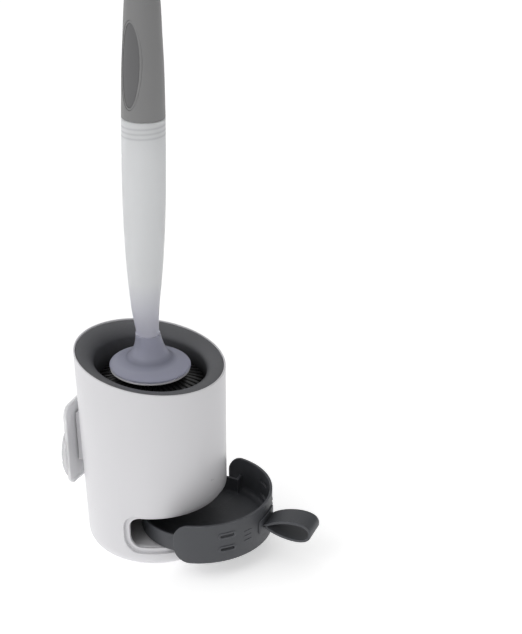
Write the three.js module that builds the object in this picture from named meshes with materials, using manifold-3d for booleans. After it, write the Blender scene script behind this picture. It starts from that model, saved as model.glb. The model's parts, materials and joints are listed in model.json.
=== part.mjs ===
// Toilet brush set: a round holder with a slide-out drip tray, a wall bracket, and a brush whose
// hollow handle holds cleaner. Millimetres, +Z up, the tray pulls out towards -Y, the wall is at +Y.
// The origin is on the floor, on the axis of the holder.
import * as THREE from 'three';
import { mergeVertices } from 'three/addons/utils/BufferGeometryUtils.js';
import Module from 'manifold-3d';

const wasm = await Module();
wasm.setup();

// ---------- driving dimensions ----------

const CLEARANCE = 0.3;            // gap between pieces that touch or slide
const SEAM = 0.8;                 // visible gap above and below the tray's front
const SEAM_END = 2.2;             // further gap at the two ends of the tray's front
const FLUSH = 0.1;                // how far the tray's front sits back from the shell

// holder
const HOLDER_RADIUS = 58;         // at the rim
const FOOT_RADIUS = 55.3;         // where the wall would meet the floor
const HOLDER_HEIGHT = 159.3;      // to the middle of the slanted rim
const RIM_SLANT = THREE.MathUtils.degToRad(9.9);
const SLANT_START = 90;           // height where the shell starts to follow the slant
const SHELL_WALL = 2.6;
const FOOT_FILLET = 13;
const FOOT_LIFT = 0.8;            // underside of the shell above the floor
const FOOT_OPENING = 41;          // radius of the opening that the base cover fills

// tray opening in the shell, and the ledge that its front closes against
const OPENING_LOW = 14.9;
const OPENING_HIGH = 49.6;
const OPENING_END = 2.4;          // how far the opening runs past the middle, towards the wall
const OPENING_CORNER = 13.5;
const LEDGE_WIDTH = 3.9;
const LEDGE_WALL = 2;
const LEDGE_BITE = 0.1;           // overlap that joins ledge and shell wall into one piece

// base
const PAD_RADIUS = 40;
const PAD_THICKNESS = 1.5;
const BASE_WALL = 2.4;
const DECK_GAP = 0.5;             // between the deck's edge and the ledge

// liner
const LIP_WIDTH = 1.7;            // white shell lip left showing round the liner
const LIP_DROP = 0.7;             // liner's outer edge below the shell's lip
const LINER_RADIUS = 43.2;        // inside of the cup
const LINER_WALL = 1.8;
const LINER_FLOOR = 50.6;
const ROLL_DROP = 8;              // height of the rolled edge
const DRAIN_RADIUS = 2.2;
const DRAIN_CIRCLE = 26;
const DRAIN_COUNT = 8;

// tray
const TRAY_OUT = 39.2;            // how far the tray is pulled out
const TRAY_WALL = 2;
const TRAY_CUP_HEIGHT = 14.9;
const TRAY_CUP_GAP = 3.2;         // between the cup and the ledge
const TRAY_JOIN = 12.5;           // where the cup's wall steps out to the front
const FRONT_WALL = 2;
const VENT_LENGTH = 11.5;
const VENT_HEIGHT = 2.4;
const VENT_ANGLE = THREE.MathUtils.degToRad(46);
const VENT_LEVELS = [26.4, 38.2];

// pull loop
const LOOP_LEVEL = 32.2;
const LOOP_WIDTH = 20;
const STRAP_THICKNESS = 2;
const LOOP_LENGTH = 38;
const LOOP_HEIGHT = 17;
const LOOP_EASE = 8;              // how gently the two straps part where they leave the plate
const LOOP_FULLNESS = 1.7;        // how round the far end of the loop is
const LOOP_FOOT_HEIGHT = 7;
const LOOP_FOOT_THICKNESS = 1.2;
const LOOP_FOOT_INSET = 1;
const LOOP_PLATE_WIDTH = 29;
const LOOP_PLATE_HEIGHT = 13.5;
const LOOP_PLATE_PROUD = 1;
const LOOP_PLATE_CORNER = 4;

// wall bracket
const BRACKET_WIDTH = 53;
const BRACKET_LOW = 45;
const BRACKET_HIGH = 114.5;
const BRACKET_CORNER = 8;
const BRACKET_WALL = 2.6;
const RAIL_WIDTH = 24;
const RAIL_STAND = 5.14;          // back face of the rail behind the shell
const RAIL_LOW = 62;
const RAIL_HIGH = 104;
const TONGUE_NECK = 10;
const TONGUE_HEAD = 15.4;
const TONGUE_NECK_DEPTH = 2.4;
const TONGUE_HEAD_DEPTH = 2.2;
const RAIL_STOP = 5;              // closed end of the rail above the tongue
const ADHESIVE_RADIUS = 31.5;
const ADHESIVE_LEVEL = 72;
const ADHESIVE_THICKNESS = 1;

// brush
const DISC_SINK = 6.7;            // middle of the splash disc below the middle of the rim
const BRUSH_LEAN = THREE.MathUtils.degToRad(2.5);
const DISC_RADIUS = 31.2;
const DISC_RIM = 1.6;             // thickness of the disc at its edge
const DISC_EDGE = 0.4;            // top of that edge above the disc's own level
const DISC_WALL = 2;
const NECK_OFFSET = 3.8;          // the handle's axis stands this far behind the head's axis
const NECK_OFFSET_LOW = 2;        // heights between which the neck swings back
const NECK_OFFSET_HIGH = 52;
const JOINT_LEVEL = 25.4;         // seam between skirt and tank, above the disc
const TANK_TOP = 196.8;
const TANK_WALL = 1.6;
const SOCKET_RADIUS = 7.9;
const NECK_WALL = 1.6;            // of the skirt round the socket
const TANK_RADIUS = 15.9;         // at the top
const SOCKET_DEPTH = 14;
const VALVE_RADIUS = 4.2;
const VALVE_TOP = 37;
const VALVE_FLANGE = 2.4;
const VALVE_CHAMFER = 1;
const SEAL_SECTION = 0.5;

// cap and grip
const THREAD_PITCH = 3.6;
const THREAD_TURNS = 4;
const THREAD_DEPTH = 1;
const SPIGOT_WALL = 2.2;
const SPIGOT_RISE = 3;            // top of the spigot above the foot of the grip
const GRIP_TOP = 298;
const GRIP_WALL = 2.2;
const GRIP_NARROWING = 0.64;      // top of the grip as a share of the tank's radius
const END_CAP_HEIGHT = 7;
const BUTTON_RISE = 39.9;         // middle of the thumb pad above the foot of the grip
const BUTTON_LENGTH = 64;
const BUTTON_WIDTH = 19;
const BUTTON_DIRECTION = THREE.MathUtils.degToRad(165);
const BEZEL_WIDTH = 1.5;
const BUTTON_DEPTH = 3;
const BUTTON_SINK = 0.5;
const BULB_DEPTH = 9.5;           // face of the squeeze bulb behind the grip's outside
const BULB_LENGTH = 52;

// brush head
const HEAD_PLATE_DROP = 2.4;
const HEAD_PLATE_THICKNESS = 1.4;
const HEAD_PLATE_INSET = 0.4;
const HEAD_NECK = 6;
const HEAD_NECK_TAPER = 1;
const HEAD_STAND = 1.4;           // tip of the head above the liner's floor
const CORE_RADIUS = 7;
const CORE_BORE = 3;
const HUB_RADIUS = 11;
const HUB_HEIGHT = 4.6;
const ROW_COUNT = 9;
const FIRST_ROW = -9;
const BRISTLES_PER_ROW = 14;
const BRISTLE_BITE = 1;           // how far a bristle's root runs into its hub
const TOP_BRISTLE_GAP = 2.2;      // between the bristles' tips and the liner, at the top row
const BOTTOM_BRISTLE_GAP = 6.7;   // and at the bottom row, where the brush leans
const BRISTLE_DROOP = 6;
const BRISTLE_ROOT = 1.9;
const BRISTLE_TIP = 1.2;
const TIP_HEIGHT = 8.8;

const ROUND = 40;                 // sides of the large round pieces
const FINE = 24;                  // sides of the handle's pieces
const SMALL = 16;                 // sides of the small round pieces
const FAR = 200;                  // longer than the holder is wide, for cutting tools

// ---------- solids ----------

function facesOut(geometry) {
  const place = geometry.attributes.position;
  const index = geometry.index.array;
  const [a, b, c] = [new THREE.Vector3(), new THREE.Vector3(), new THREE.Vector3()];
  let volume = 0;
  for (let i = 0; i < index.length; i += 3) {
    a.fromBufferAttribute(place, index[i]);
    b.fromBufferAttribute(place, index[i + 1]);
    c.fromBufferAttribute(place, index[i + 2]);
    volume += a.dot(b.cross(c));
  }
  if (volume < 0) {
    for (let i = 0; i < index.length; i += 3) [index[i], index[i + 1]] = [index[i + 1], index[i]];
  }
  return geometry;
}

// Welds a geometry into one closed skin, without the flat triangles on the axis of a lathe.
function weld(source) {
  const bare = source.clone();
  bare.deleteAttribute('normal');
  bare.deleteAttribute('uv');
  const merged = mergeVertices(bare, 1e-4);
  const kept = [];
  const index = merged.index.array;
  for (let i = 0; i < index.length; i += 3) {
    const [a, b, c] = [index[i], index[i + 1], index[i + 2]];
    if (a !== b && b !== c && a !== c) kept.push(a, b, c);
  }
  merged.setIndex(kept);
  return facesOut(merged);
}

function solid(geometry) {
  const skin = weld(geometry);
  return new wasm.Manifold(new wasm.Mesh({
    numProp: 3,
    vertProperties: new Float32Array(skin.attributes.position.array),
    triVerts: new Uint32Array(skin.index.array),
  }));
}

function surface(body) {
  const mesh = body.getMesh();
  const geometry = new THREE.BufferGeometry();
  geometry.setAttribute('position', new THREE.BufferAttribute(new Float32Array(mesh.vertProperties), 3));
  geometry.setIndex([...mesh.triVerts]);
  return geometry;
}

const plus = (sum, next) => sum.add(solid(next));
const join = (first, ...others) => surface(others.reduce(plus, solid(first)));
const without = (rest, tool) => rest.subtract(solid(tool));
const cut = (first, ...tools) => surface(tools.reduce(without, solid(first)));
const common = (first, second) => surface(solid(first).intersect(solid(second)));

// A round piece about Z. The profile is [radius, height] pairs.
function turned(profile, sides = FINE) {
  const points = profile.map(([radius, height]) => new THREE.Vector2(radius, height));
  return weld(new THREE.LatheGeometry(points, sides).rotateX(Math.PI / 2));
}

// A closed round wall about Z between an outer and an inner profile, both from bottom to top.
function shellOf(outer, inner, sides = FINE) {
  return turned([...outer, ...[...inner].reverse(), outer[0]], sides);
}

function disc(radius, low, high, sides = FINE) {
  return turned([[0, low], [radius, low], [radius, high], [0, high]], sides);
}

function tube(outer, inner, low, high, sides = FINE) {
  return shellOf([[outer, low], [outer, high]], [[inner, low], [inner, high]], sides);
}

function block([x0, x1], [y0, y1], [z0, z1]) {
  const box = new THREE.BoxGeometry(x1 - x0, y1 - y0, z1 - z0);
  return box.translate((x0 + x1) / 2, (y0 + y1) / 2, (z0 + z1) / 2);
}

function roundedRectangle([x0, x1], [y0, y1], radius) {
  const outline = new THREE.Shape();
  outline.moveTo(x0 + radius, y0);
  outline.lineTo(x1 - radius, y0);
  outline.absarc(x1 - radius, y0 + radius, radius, -Math.PI / 2, 0);
  outline.lineTo(x1, y1 - radius);
  outline.absarc(x1 - radius, y1 - radius, radius, 0, Math.PI / 2);
  outline.lineTo(x0 + radius, y1);
  outline.absarc(x0 + radius, y1 - radius, radius, Math.PI / 2, Math.PI);
  outline.lineTo(x0, y0 + radius);
  outline.absarc(x0 + radius, y0 + radius, radius, Math.PI, Math.PI * 1.5);
  return outline;
}

// An outline in Y and Z, carried along X between two places.
function alongX(outline, x0, x1, curveSegments = 6) {
  const body = new THREE.ExtrudeGeometry(outline, { depth: x1 - x0, bevelEnabled: false, curveSegments });
  const turn = new THREE.Matrix4().set(0, 0, 1, x0, 1, 0, 0, 0, 0, 1, 0, 0, 0, 0, 0, 1);
  return body.applyMatrix4(turn);
}

// An outline in X and Z, carried along Y between two places.
function alongY(outline, y0, y1, curveSegments = 8) {
  const body = new THREE.ExtrudeGeometry(outline, { depth: y1 - y0, bevelEnabled: false, curveSegments });
  const turn = new THREE.Matrix4().set(1, 0, 0, 0, 0, 0, 1, y0, 0, 1, 0, 0, 0, 0, 0, 1);
  return weld(body.applyMatrix4(turn));
}

function moveEach(geometry, change) {
  const place = geometry.attributes.position;
  const point = new THREE.Vector3();
  for (let i = 0; i < place.count; i += 1) {
    point.fromBufferAttribute(place, i);
    change(point);
    place.setXYZ(i, point.x, point.y, point.z);
  }
  return geometry;
}

const smooth = (value, low, high) => THREE.MathUtils.smoothstep(value, low, high);

// Points on a smooth outline through a few [radius, height] pairs.
function curve(pairs, count) {
  const line = new THREE.SplineCurve(pairs.map(([radius, height]) => new THREE.Vector2(radius, height)));
  return line.getPoints(count).map((point) => [point.x, point.y]);
}

const inwards = (profile, wall) => profile.map(([radius, height]) => [radius - wall, height]);

// ---------- materials ----------

function plastic(color, roughness, opacity = 1) {
  const transparent = opacity < 1;
  return new THREE.MeshStandardMaterial({ color, roughness, metalness: 0, opacity, transparent });
}

const whitePlastic = plastic(0xe4e5e8, 0.35);
const darkPlastic = plastic(0x4b4c50, 0.5);
const greyPlastic = plastic(0x77787b, 0.5);
const frostedPlastic = plastic(0xd8d9da, 0.45, 0.75);
const clearFilm = plastic(0xeeeeee, 0.2, 0.5);
const tankPlastic = plastic(0xc9cbcc, 0.35, 0.7);
const skirtPlastic = plastic(0xb4b2c4, 0.3, 0.7);
const softGrey = plastic(0x6c6d70, 0.7);
const blackRubber = plastic(0x17171a, 0.6);
const valveRubber = plastic(0x55585f, 0.6);

const part = new THREE.Group();

function add(parent, name, geometry, material) {
  const mesh = new THREE.Mesh(geometry, material);
  mesh.name = name;
  parent.add(mesh);
}

// ---------- holder ----------

const RIM_TAPER = (HOLDER_RADIUS - FOOT_RADIUS) / HOLDER_HEIGHT;
const wallRadius = (height) => FOOT_RADIUS + RIM_TAPER * height;
const RAIL_DEPTH = wallRadius(RAIL_HIGH) + RAIL_STAND;
const RAIL_ROOT = wallRadius(RAIL_LOW) - SHELL_WALL / 2;

// Slants the top of a holder piece, high at the wall and low at the front.
function slanted(geometry) {
  return moveEach(geometry, (point) => {
    const share = THREE.MathUtils.clamp((point.z - SLANT_START) / (HOLDER_HEIGHT - SLANT_START), 0, 1);
    point.z += point.y * Math.tan(RIM_SLANT) * share;
  });
}

function openingTool(inset, endGap = 0) {
  const across = [-FAR, OPENING_END - inset - endGap];
  const upright = [OPENING_LOW + inset, OPENING_HIGH - inset];
  return alongX(roundedRectangle(across, upright, OPENING_CORNER - inset), -FAR, FAR);
}

function holderShell() {
  const steps = 5;
  const arc = [];
  const centre = wallRadius(FOOT_LIFT) - FOOT_FILLET;
  for (let i = 0; i <= steps; i += 1) {
    const angle = (i / steps) * (Math.PI / 2);
    const radius = centre + FOOT_FILLET * Math.sin(angle);
    arc.push([radius, FOOT_LIFT + FOOT_FILLET * (1 - Math.cos(angle))]);
  }
  const levels = [SLANT_START, HOLDER_HEIGHT];
  const outer = [[FOOT_OPENING, FOOT_LIFT], ...arc, ...levels.map((level) => [wallRadius(level), level])];
  const insideArc = arc.map(([radius, height]) => [
    centre + (radius - centre) * (1 - SHELL_WALL / FOOT_FILLET),
    FOOT_LIFT + FOOT_FILLET - (FOOT_LIFT + FOOT_FILLET - height) * (1 - SHELL_WALL / FOOT_FILLET),
  ]);
  const shoulder = HOLDER_HEIGHT - LIP_DROP - LINER_WALL - CLEARANCE;
  const inner = [
    [FOOT_OPENING, FOOT_LIFT + SHELL_WALL],
    ...insideArc,
    [wallRadius(SLANT_START) - SHELL_WALL, SLANT_START],
    [wallRadius(shoulder) - SHELL_WALL, shoulder],
    [wallRadius(shoulder) - LIP_WIDTH + CLEARANCE, shoulder],
    [wallRadius(HOLDER_HEIGHT) - LIP_WIDTH + CLEARANCE, HOLDER_HEIGHT],
  ];
  const body = slanted(shellOf(outer, inner, ROUND));

  const ledgeOuter = (level) => wallRadius(level) - SHELL_WALL + LEDGE_BITE;
  const ledgeLow = OPENING_LOW - LEDGE_WIDTH;
  const ledgeHigh = OPENING_HIGH + LEDGE_WIDTH;
  const ring = shellOf(
    [[ledgeOuter(ledgeLow), ledgeLow], [ledgeOuter(ledgeHigh), ledgeHigh]],
    [[ledgeOuter(ledgeLow) - LEDGE_WALL, ledgeLow], [ledgeOuter(ledgeHigh) - LEDGE_WALL, ledgeHigh]],
    ROUND,
  );
  const ledge = cut(common(ring, openingTool(-LEDGE_WIDTH)), openingTool(LEDGE_WIDTH));

  const rail = block([-RAIL_WIDTH / 2, RAIL_WIDTH / 2], [RAIL_ROOT, RAIL_DEPTH], [RAIL_LOW, RAIL_HIGH]);
  const channelTop = RAIL_HIGH - RAIL_STOP;
  const neck = TONGUE_NECK / 2 + CLEARANCE;
  const head = TONGUE_HEAD / 2 + CLEARANCE;
  const headBack = RAIL_DEPTH + CLEARANCE - TONGUE_NECK_DEPTH;
  const headFront = headBack - TONGUE_HEAD_DEPTH - 2 * CLEARANCE;
  const neckChannel = block([-neck, neck], [headFront, FAR], [0, channelTop]);
  const headChannel = block([-head, head], [headFront, headBack], [0, channelTop]);
  return cut(join(cut(body, openingTool(0)), ledge, rail), neckChannel, headChannel);
}

const LEDGE_INSIDE = wallRadius(OPENING_LOW) - SHELL_WALL + LEDGE_BITE - LEDGE_WALL;
const DECK_TOP = OPENING_LOW + LEDGE_WIDTH;

// The deck that the tray slides on, with a skirt that fills the opening under the shell.
function baseCover() {
  const skirtOuter = FOOT_OPENING - CLEARANCE;
  const low = PAD_THICKNESS + CLEARANCE;
  const deckRadius = LEDGE_INSIDE - DECK_GAP;
  return turned([
    [0, DECK_TOP - BASE_WALL],
    [skirtOuter - BASE_WALL, DECK_TOP - BASE_WALL],
    [skirtOuter - BASE_WALL, low],
    [skirtOuter, low],
    [skirtOuter, DECK_TOP - BASE_WALL],
    [deckRadius, DECK_TOP - BASE_WALL],
    [deckRadius, DECK_TOP],
    [0, DECK_TOP],
  ], ROUND);
}

// Cup with a broad rolled edge that drops into the shell, and drain holes over the tray.
function linerCup() {
  const edge = wallRadius(HOLDER_HEIGHT) - LIP_WIDTH;
  const top = HOLDER_HEIGHT - LIP_DROP;
  const steps = 7;
  const roll = [];
  for (let i = steps; i >= 0; i -= 1) {
    const angle = (i / steps) * (Math.PI / 2);
    const radius = edge - (edge - LINER_RADIUS) * Math.sin(angle);
    roll.push([radius, top - ROLL_DROP * (1 - Math.cos(angle))]);
  }
  const under = roll.map(([radius, height]) => [Math.min(radius + LINER_WALL, edge), height - LINER_WALL]);
  const cup = slanted(turned([
    [0, LINER_FLOOR],
    [LINER_RADIUS, LINER_FLOOR],
    ...roll,
    ...under.reverse(),
    [LINER_RADIUS + LINER_WALL, LINER_FLOOR - LINER_WALL],
    [0, LINER_FLOOR - LINER_WALL],
  ], ROUND));
  const drains = Array.from({ length: DRAIN_COUNT }, (_, i) => {
    const angle = (i / DRAIN_COUNT) * 2 * Math.PI;
    return disc(DRAIN_RADIUS, 0, HOLDER_HEIGHT / 2, 8)
      .translate(DRAIN_CIRCLE * Math.cos(angle), DRAIN_CIRCLE * Math.sin(angle), 0);
  });
  return cut(cup, ...drains);
}

add(part, 'holder_shell', holderShell(), whitePlastic);
add(part, 'base_cover', baseCover(), whitePlastic);
add(part, 'non_slip_pad', disc(PAD_RADIUS, 0, PAD_THICKNESS, ROUND), blackRubber);
add(part, 'liner_cup', linerCup(), darkPlastic);

// ---------- wall bracket ----------

const BRACKET_FRONT = RAIL_DEPTH + CLEARANCE;

function wallBracket() {
  const across = [-BRACKET_WIDTH / 2, BRACKET_WIDTH / 2];
  const outline = roundedRectangle(across, [BRACKET_LOW, BRACKET_HIGH], BRACKET_CORNER);
  const plate = alongY(outline, BRACKET_FRONT, BRACKET_FRONT + BRACKET_WALL);
  const tongueTop = RAIL_HIGH - RAIL_STOP - CLEARANCE;
  const upright = [RAIL_LOW, tongueTop];
  const headBack = BRACKET_FRONT - TONGUE_NECK_DEPTH - CLEARANCE;
  const root = BRACKET_FRONT + BRACKET_WALL / 2;
  const neck = block([-TONGUE_NECK / 2, TONGUE_NECK / 2], [headBack, root], upright);
  const head = block([-TONGUE_HEAD / 2, TONGUE_HEAD / 2], [headBack - TONGUE_HEAD_DEPTH, headBack], upright);
  return join(plate, join(neck, head));
}

function adhesivePad() {
  const back = BRACKET_FRONT + BRACKET_WALL + CLEARANCE;
  return disc(ADHESIVE_RADIUS, 0, ADHESIVE_THICKNESS, ROUND)
    .rotateX(-Math.PI / 2)
    .translate(0, back, ADHESIVE_LEVEL);
}

add(part, 'wall_bracket', wallBracket(), frostedPlastic);
add(part, 'adhesive_pad', adhesivePad(), clearFilm);

// ---------- drip tray ----------

const tray = new THREE.Group();
tray.position.set(0, -TRAY_OUT, 0);
part.add(tray);

const FRONT_INSIDE = wallRadius(LOOP_LEVEL) - FLUSH - FRONT_WALL;

function strapSlot() {
  const half = LOOP_WIDTH / 2 + CLEARANCE;
  const height = STRAP_THICKNESS / 2 + CLEARANCE;
  return block([-half, half], [-FAR, -LEDGE_INSIDE], [LOOP_LEVEL - height, LOOP_LEVEL + height]);
}

function dripTray() {
  const floor = DECK_TOP + CLEARANCE;
  const radius = LEDGE_INSIDE - TRAY_CUP_GAP;
  const inside = radius - TRAY_WALL;
  const top = floor + TRAY_CUP_HEIGHT;
  const plate = disc(radius, floor, floor + TRAY_WALL, ROUND);
  const behind = block([-FAR, FAR], [-TRAY_JOIN, FAR], [0, FAR]);
  const wall = common(tube(radius, inside, floor, top, ROUND), behind);
  const stepBar = block([-FAR, FAR], [-TRAY_JOIN, TRAY_WALL - TRAY_JOIN], [0, FAR]);
  const stepRing = tube(FRONT_INSIDE + FRONT_WALL / 4, inside + LEDGE_BITE, floor, top, ROUND);
  const outer = (level) => [wallRadius(level) - FLUSH, level];
  const inner = (level) => [wallRadius(level) - FLUSH - FRONT_WALL, level];
  const ring = shellOf([outer(0), outer(OPENING_HIGH)], [inner(0), inner(OPENING_HIGH)], ROUND);
  const front = common(ring, openingTool(SEAM, SEAM_END));
  const webWidth = FRONT_INSIDE + LEDGE_BITE;
  const web = tube(webWidth, radius - LEDGE_BITE, floor, floor + TRAY_WALL, ROUND);
  const frontHalf = block([-FAR, FAR], [-FAR, TRAY_WALL - TRAY_JOIN], [0, FAR]);
  const vents = [];
  for (const level of VENT_LEVELS) {
    for (const side of [-1, 1]) {
      const outline = roundedRectangle(
        [-VENT_LENGTH / 2, VENT_LENGTH / 2],
        [level - VENT_HEIGHT / 2, level + VENT_HEIGHT / 2],
        VENT_HEIGHT / 2 - LEDGE_BITE,
      );
      vents.push(alongY(outline, -FAR, -radius - CLEARANCE, 3).rotateZ(side * VENT_ANGLE));
    }
  }
  const body = join(plate, wall, common(stepRing, stepBar), front, common(web, frontHalf));
  return cut(body, strapSlot(), ...vents);
}

// A band folded back on itself: both ends pass through the front and end in one flat foot.
function pullLoop() {
  const root = -wallRadius(LOOP_LEVEL) - LOOP_PLATE_PROUD - CLEARANCE;
  const half = STRAP_THICKNESS / 2;
  const tip = root - LOOP_LENGTH;
  const drop = (inset) => {
    const outline = new THREE.Shape();
    const rise = LOOP_HEIGHT / 2 - inset;
    const start = root - (inset ? 2 * inset : 0);
    outline.moveTo(start, LOOP_LEVEL);
    const end = tip + inset;
    const eased = start - LOOP_EASE;
    const full = LOOP_FULLNESS * rise;
    outline.bezierCurveTo(eased, LOOP_LEVEL + rise, end, LOOP_LEVEL + full, end, LOOP_LEVEL);
    outline.bezierCurveTo(end, LOOP_LEVEL - full, eased, LOOP_LEVEL - rise, start, LOOP_LEVEL);
    return outline;
  };
  const across = LOOP_WIDTH / 2;
  const band = cut(alongX(drop(0), -across, across, 12), alongX(drop(STRAP_THICKNESS), -FAR, FAR, 12));
  const footBack = -LEDGE_INSIDE - CLEARANCE;
  const stemLevels = [LOOP_LEVEL - half, LOOP_LEVEL + half];
  const stem = block([-across, across], [root - STRAP_THICKNESS, footBack], stemLevels);
  const footHalf = LOOP_FOOT_HEIGHT / 2;
  const foot = block(
    [-across + LOOP_FOOT_INSET, across - LOOP_FOOT_INSET],
    [footBack - LOOP_FOOT_THICKNESS, footBack],
    [LOOP_LEVEL - footHalf, LOOP_LEVEL + footHalf],
  );
  return join(band, stem, foot);
}

function loopPlate() {
  const outline = roundedRectangle(
    [-LOOP_PLATE_WIDTH / 2, LOOP_PLATE_WIDTH / 2],
    [LOOP_LEVEL - LOOP_PLATE_HEIGHT / 2, LOOP_LEVEL + LOOP_PLATE_HEIGHT / 2],
    LOOP_PLATE_CORNER,
  );
  const back = (level) => wallRadius(level) + CLEARANCE - FLUSH;
  const face = (level) => wallRadius(level) + LOOP_PLATE_PROUD;
  const ring = shellOf([[face(0), 0], [face(FAR), FAR]], [[back(0), 0], [back(FAR), FAR]], ROUND);
  return cut(common(ring, alongY(outline, -FAR, 0, 4)), strapSlot());
}

add(tray, 'drip_tray', dripTray(), darkPlastic);
add(tray, 'pull_loop', pullLoop(), softGrey);
add(tray, 'loop_plate', loopPlate(), darkPlastic);

// ---------- brush ----------

const brush = new THREE.Group();
brush.position.set(0, 0, HOLDER_HEIGHT - DISC_SINK);
brush.rotation.x = BRUSH_LEAN;
part.add(brush);

const handle = new THREE.Group();
handle.position.set(0, NECK_OFFSET, 0);
brush.add(handle);

const offsetAt = (height) => NECK_OFFSET * smooth(height, NECK_OFFSET_LOW, NECK_OFFSET_HIGH);

// Carries the neck from the head's axis back to the handle's axis.
function swungBack(geometry) {
  return moveEach(geometry, (point) => {
    point.y += offsetAt(point.z);
  });
}

const NECK_RADIUS = SOCKET_RADIUS + NECK_WALL;

// Outlines are [share of the way out, share of the way up] between two radii and two levels.
function outlineBetween([innerRadius, outerRadius], [low, high], shares) {
  return shares.map(([out, up]) => [
    THREE.MathUtils.lerp(innerRadius, outerRadius, out),
    THREE.MathUtils.lerp(low, high, up),
  ]);
}

const TANK_OUTLINE = outlineBetween(
  [NECK_RADIUS, TANK_RADIUS],
  [JOINT_LEVEL, TANK_TOP],
  [[0, 0], [-0.1, 0.02], [0.25, 0.15], [0.68, 0.34], [0.96, 0.57], [1.03, 0.82], [1, 1]],
);
const SKIRT_OUTLINE = outlineBetween(
  [NECK_RADIUS, DISC_RADIUS],
  [DISC_EDGE, JOINT_LEVEL],
  [[1, 0], [0.92, 0.03], [0.72, 0.09], [0.49, 0.17], [0.32, 0.26], [0.13, 0.54], [0.04, 0.78], [0, 1]],
);
const MOUTH_RADIUS = TANK_RADIUS - TANK_WALL;
const TANK_FOOT = JOINT_LEVEL - SOCKET_DEPTH + CLEARANCE;

function tank() {
  const outer = curve(TANK_OUTLINE, 10);
  const seat = JOINT_LEVEL + CLEARANCE;
  const spigot = SOCKET_RADIUS - CLEARANCE;
  outer[0] = [NECK_RADIUS, seat];
  return swungBack(shellOf(
    [[spigot, TANK_FOOT], [spigot, seat], ...outer],
    [[spigot - TANK_WALL, TANK_FOOT], [spigot - TANK_WALL, seat], ...inwards(outer.slice(1), TANK_WALL)],
  ));
}

// Splash disc and the lower part of the neck in one flared piece, with the socket for the tank.
function skirt() {
  const outer = curve(SKIRT_OUTLINE, 9);
  const socketFloor = JOINT_LEVEL - SOCKET_DEPTH;
  const under = outer.filter(([, height]) => height < socketFloor - DISC_WALL);
  return swungBack(turned([
    [DISC_RADIUS, DISC_EDGE - DISC_RIM],
    ...outer,
    [SOCKET_RADIUS, JOINT_LEVEL],
    [SOCKET_RADIUS, socketFloor],
    [SOCKET_RADIUS - DISC_WALL, socketFloor],
    ...under.reverse().map(([radius, height]) => [radius - DISC_WALL, height + DISC_EDGE - DISC_WALL]),
    [DISC_RADIUS, DISC_EDGE - DISC_RIM],
  ]));
}

function outletValve() {
  const flange = SOCKET_RADIUS - TANK_WALL - 2 * CLEARANCE;
  const low = VALVE_TOP - SOCKET_DEPTH;
  return swungBack(turned([
    [0, low],
    [flange, low],
    [flange, low + VALVE_FLANGE],
    [VALVE_RADIUS, low + VALVE_FLANGE],
    [VALVE_RADIUS, VALVE_TOP - VALVE_CHAMFER],
    [VALVE_RADIUS - VALVE_CHAMFER, VALVE_TOP],
    [0, VALVE_TOP],
  ], SMALL));
}

function ringOf(radius, section, height) {
  return new THREE.TorusGeometry(radius, section, 6, SMALL).translate(0, 0, height);
}

add(brush, 'tank', tank(), tankPlastic);
add(brush, 'skirt', skirt(), skirtPlastic);
add(brush, 'outlet_valve', outletValve(), valveRubber);

// ---------- screw cap with the grip ----------

const CAP_LOW = TANK_TOP + CLEARANCE;
const SPIGOT_RADIUS = MOUTH_RADIUS - CLEARANCE;
const SPIGOT_CORE = SPIGOT_RADIUS - THREAD_DEPTH;
const SPIGOT_TOP = CAP_LOW + SPIGOT_RISE;
const BUTTON_LEVEL = CAP_LOW + BUTTON_RISE;
const BULB_RADIUS = TANK_RADIUS - BULB_DEPTH;
const GRIP_END = TANK_RADIUS * GRIP_NARROWING;
const GRIP_OUTLINE = outlineBetween(
  [GRIP_END, TANK_RADIUS],
  [CAP_LOW, GRIP_TOP],
  [[1, 0], [0.86, 0.34], [0.68, 0.55], [0.42, 0.83], [0, 1]],
);
const GRIP_MOUTH = GRIP_END - GRIP_WALL;
const SEAL_LEVEL = TANK_TOP - SEAL_SECTION - CLEARANCE;

// Plug that screws into the mouth of the tank, with the thread as rings a pitch apart.
function spigot() {
  const low = SEAL_LEVEL - (THREAD_TURNS + 1) * THREAD_PITCH;
  const half = THREAD_PITCH / 4;
  const outer = [[SPIGOT_CORE, low]];
  for (let turn = 0; turn < THREAD_TURNS; turn += 1) {
    const middle = low + THREAD_PITCH * (turn + 1) - half;
    outer.push([SPIGOT_CORE, middle - half], [SPIGOT_RADIUS, middle], [SPIGOT_CORE, middle + half]);
  }
  outer.push([SPIGOT_CORE, SPIGOT_TOP]);
  const bore = SPIGOT_CORE - SPIGOT_WALL;
  return shellOf(outer, [[bore, low], [bore, SPIGOT_TOP]]);
}

// Oval tools point out of the grip towards the thumb.
function ovalTool(inset) {
  const halfWidth = BUTTON_WIDTH / 2 - inset;
  const halfLength = BUTTON_LENGTH / 2 - inset;
  const outline = new THREE.Shape();
  outline.absellipse(0, BUTTON_LEVEL, halfWidth, halfLength, 0, Math.PI * 2);
  return alongY(outline, -FAR, 0, 18).rotateZ(Math.PI / 2 + BUTTON_DIRECTION);
}

const gripOutside = curve(GRIP_OUTLINE, 7);

function gripLayer(outerInset, innerInset) {
  return shellOf(inwards(gripOutside, outerInset), inwards(gripOutside, innerInset));
}

function gripShell() {
  const wall = gripLayer(0, GRIP_WALL);
  const collarEdge = TANK_RADIUS - GRIP_WALL + LEDGE_BITE;
  const collar = tube(collarEdge, SPIGOT_CORE + CLEARANCE, CAP_LOW, CAP_LOW + GRIP_WALL);
  return cut(join(wall, collar), ovalTool(0));
}

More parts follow.
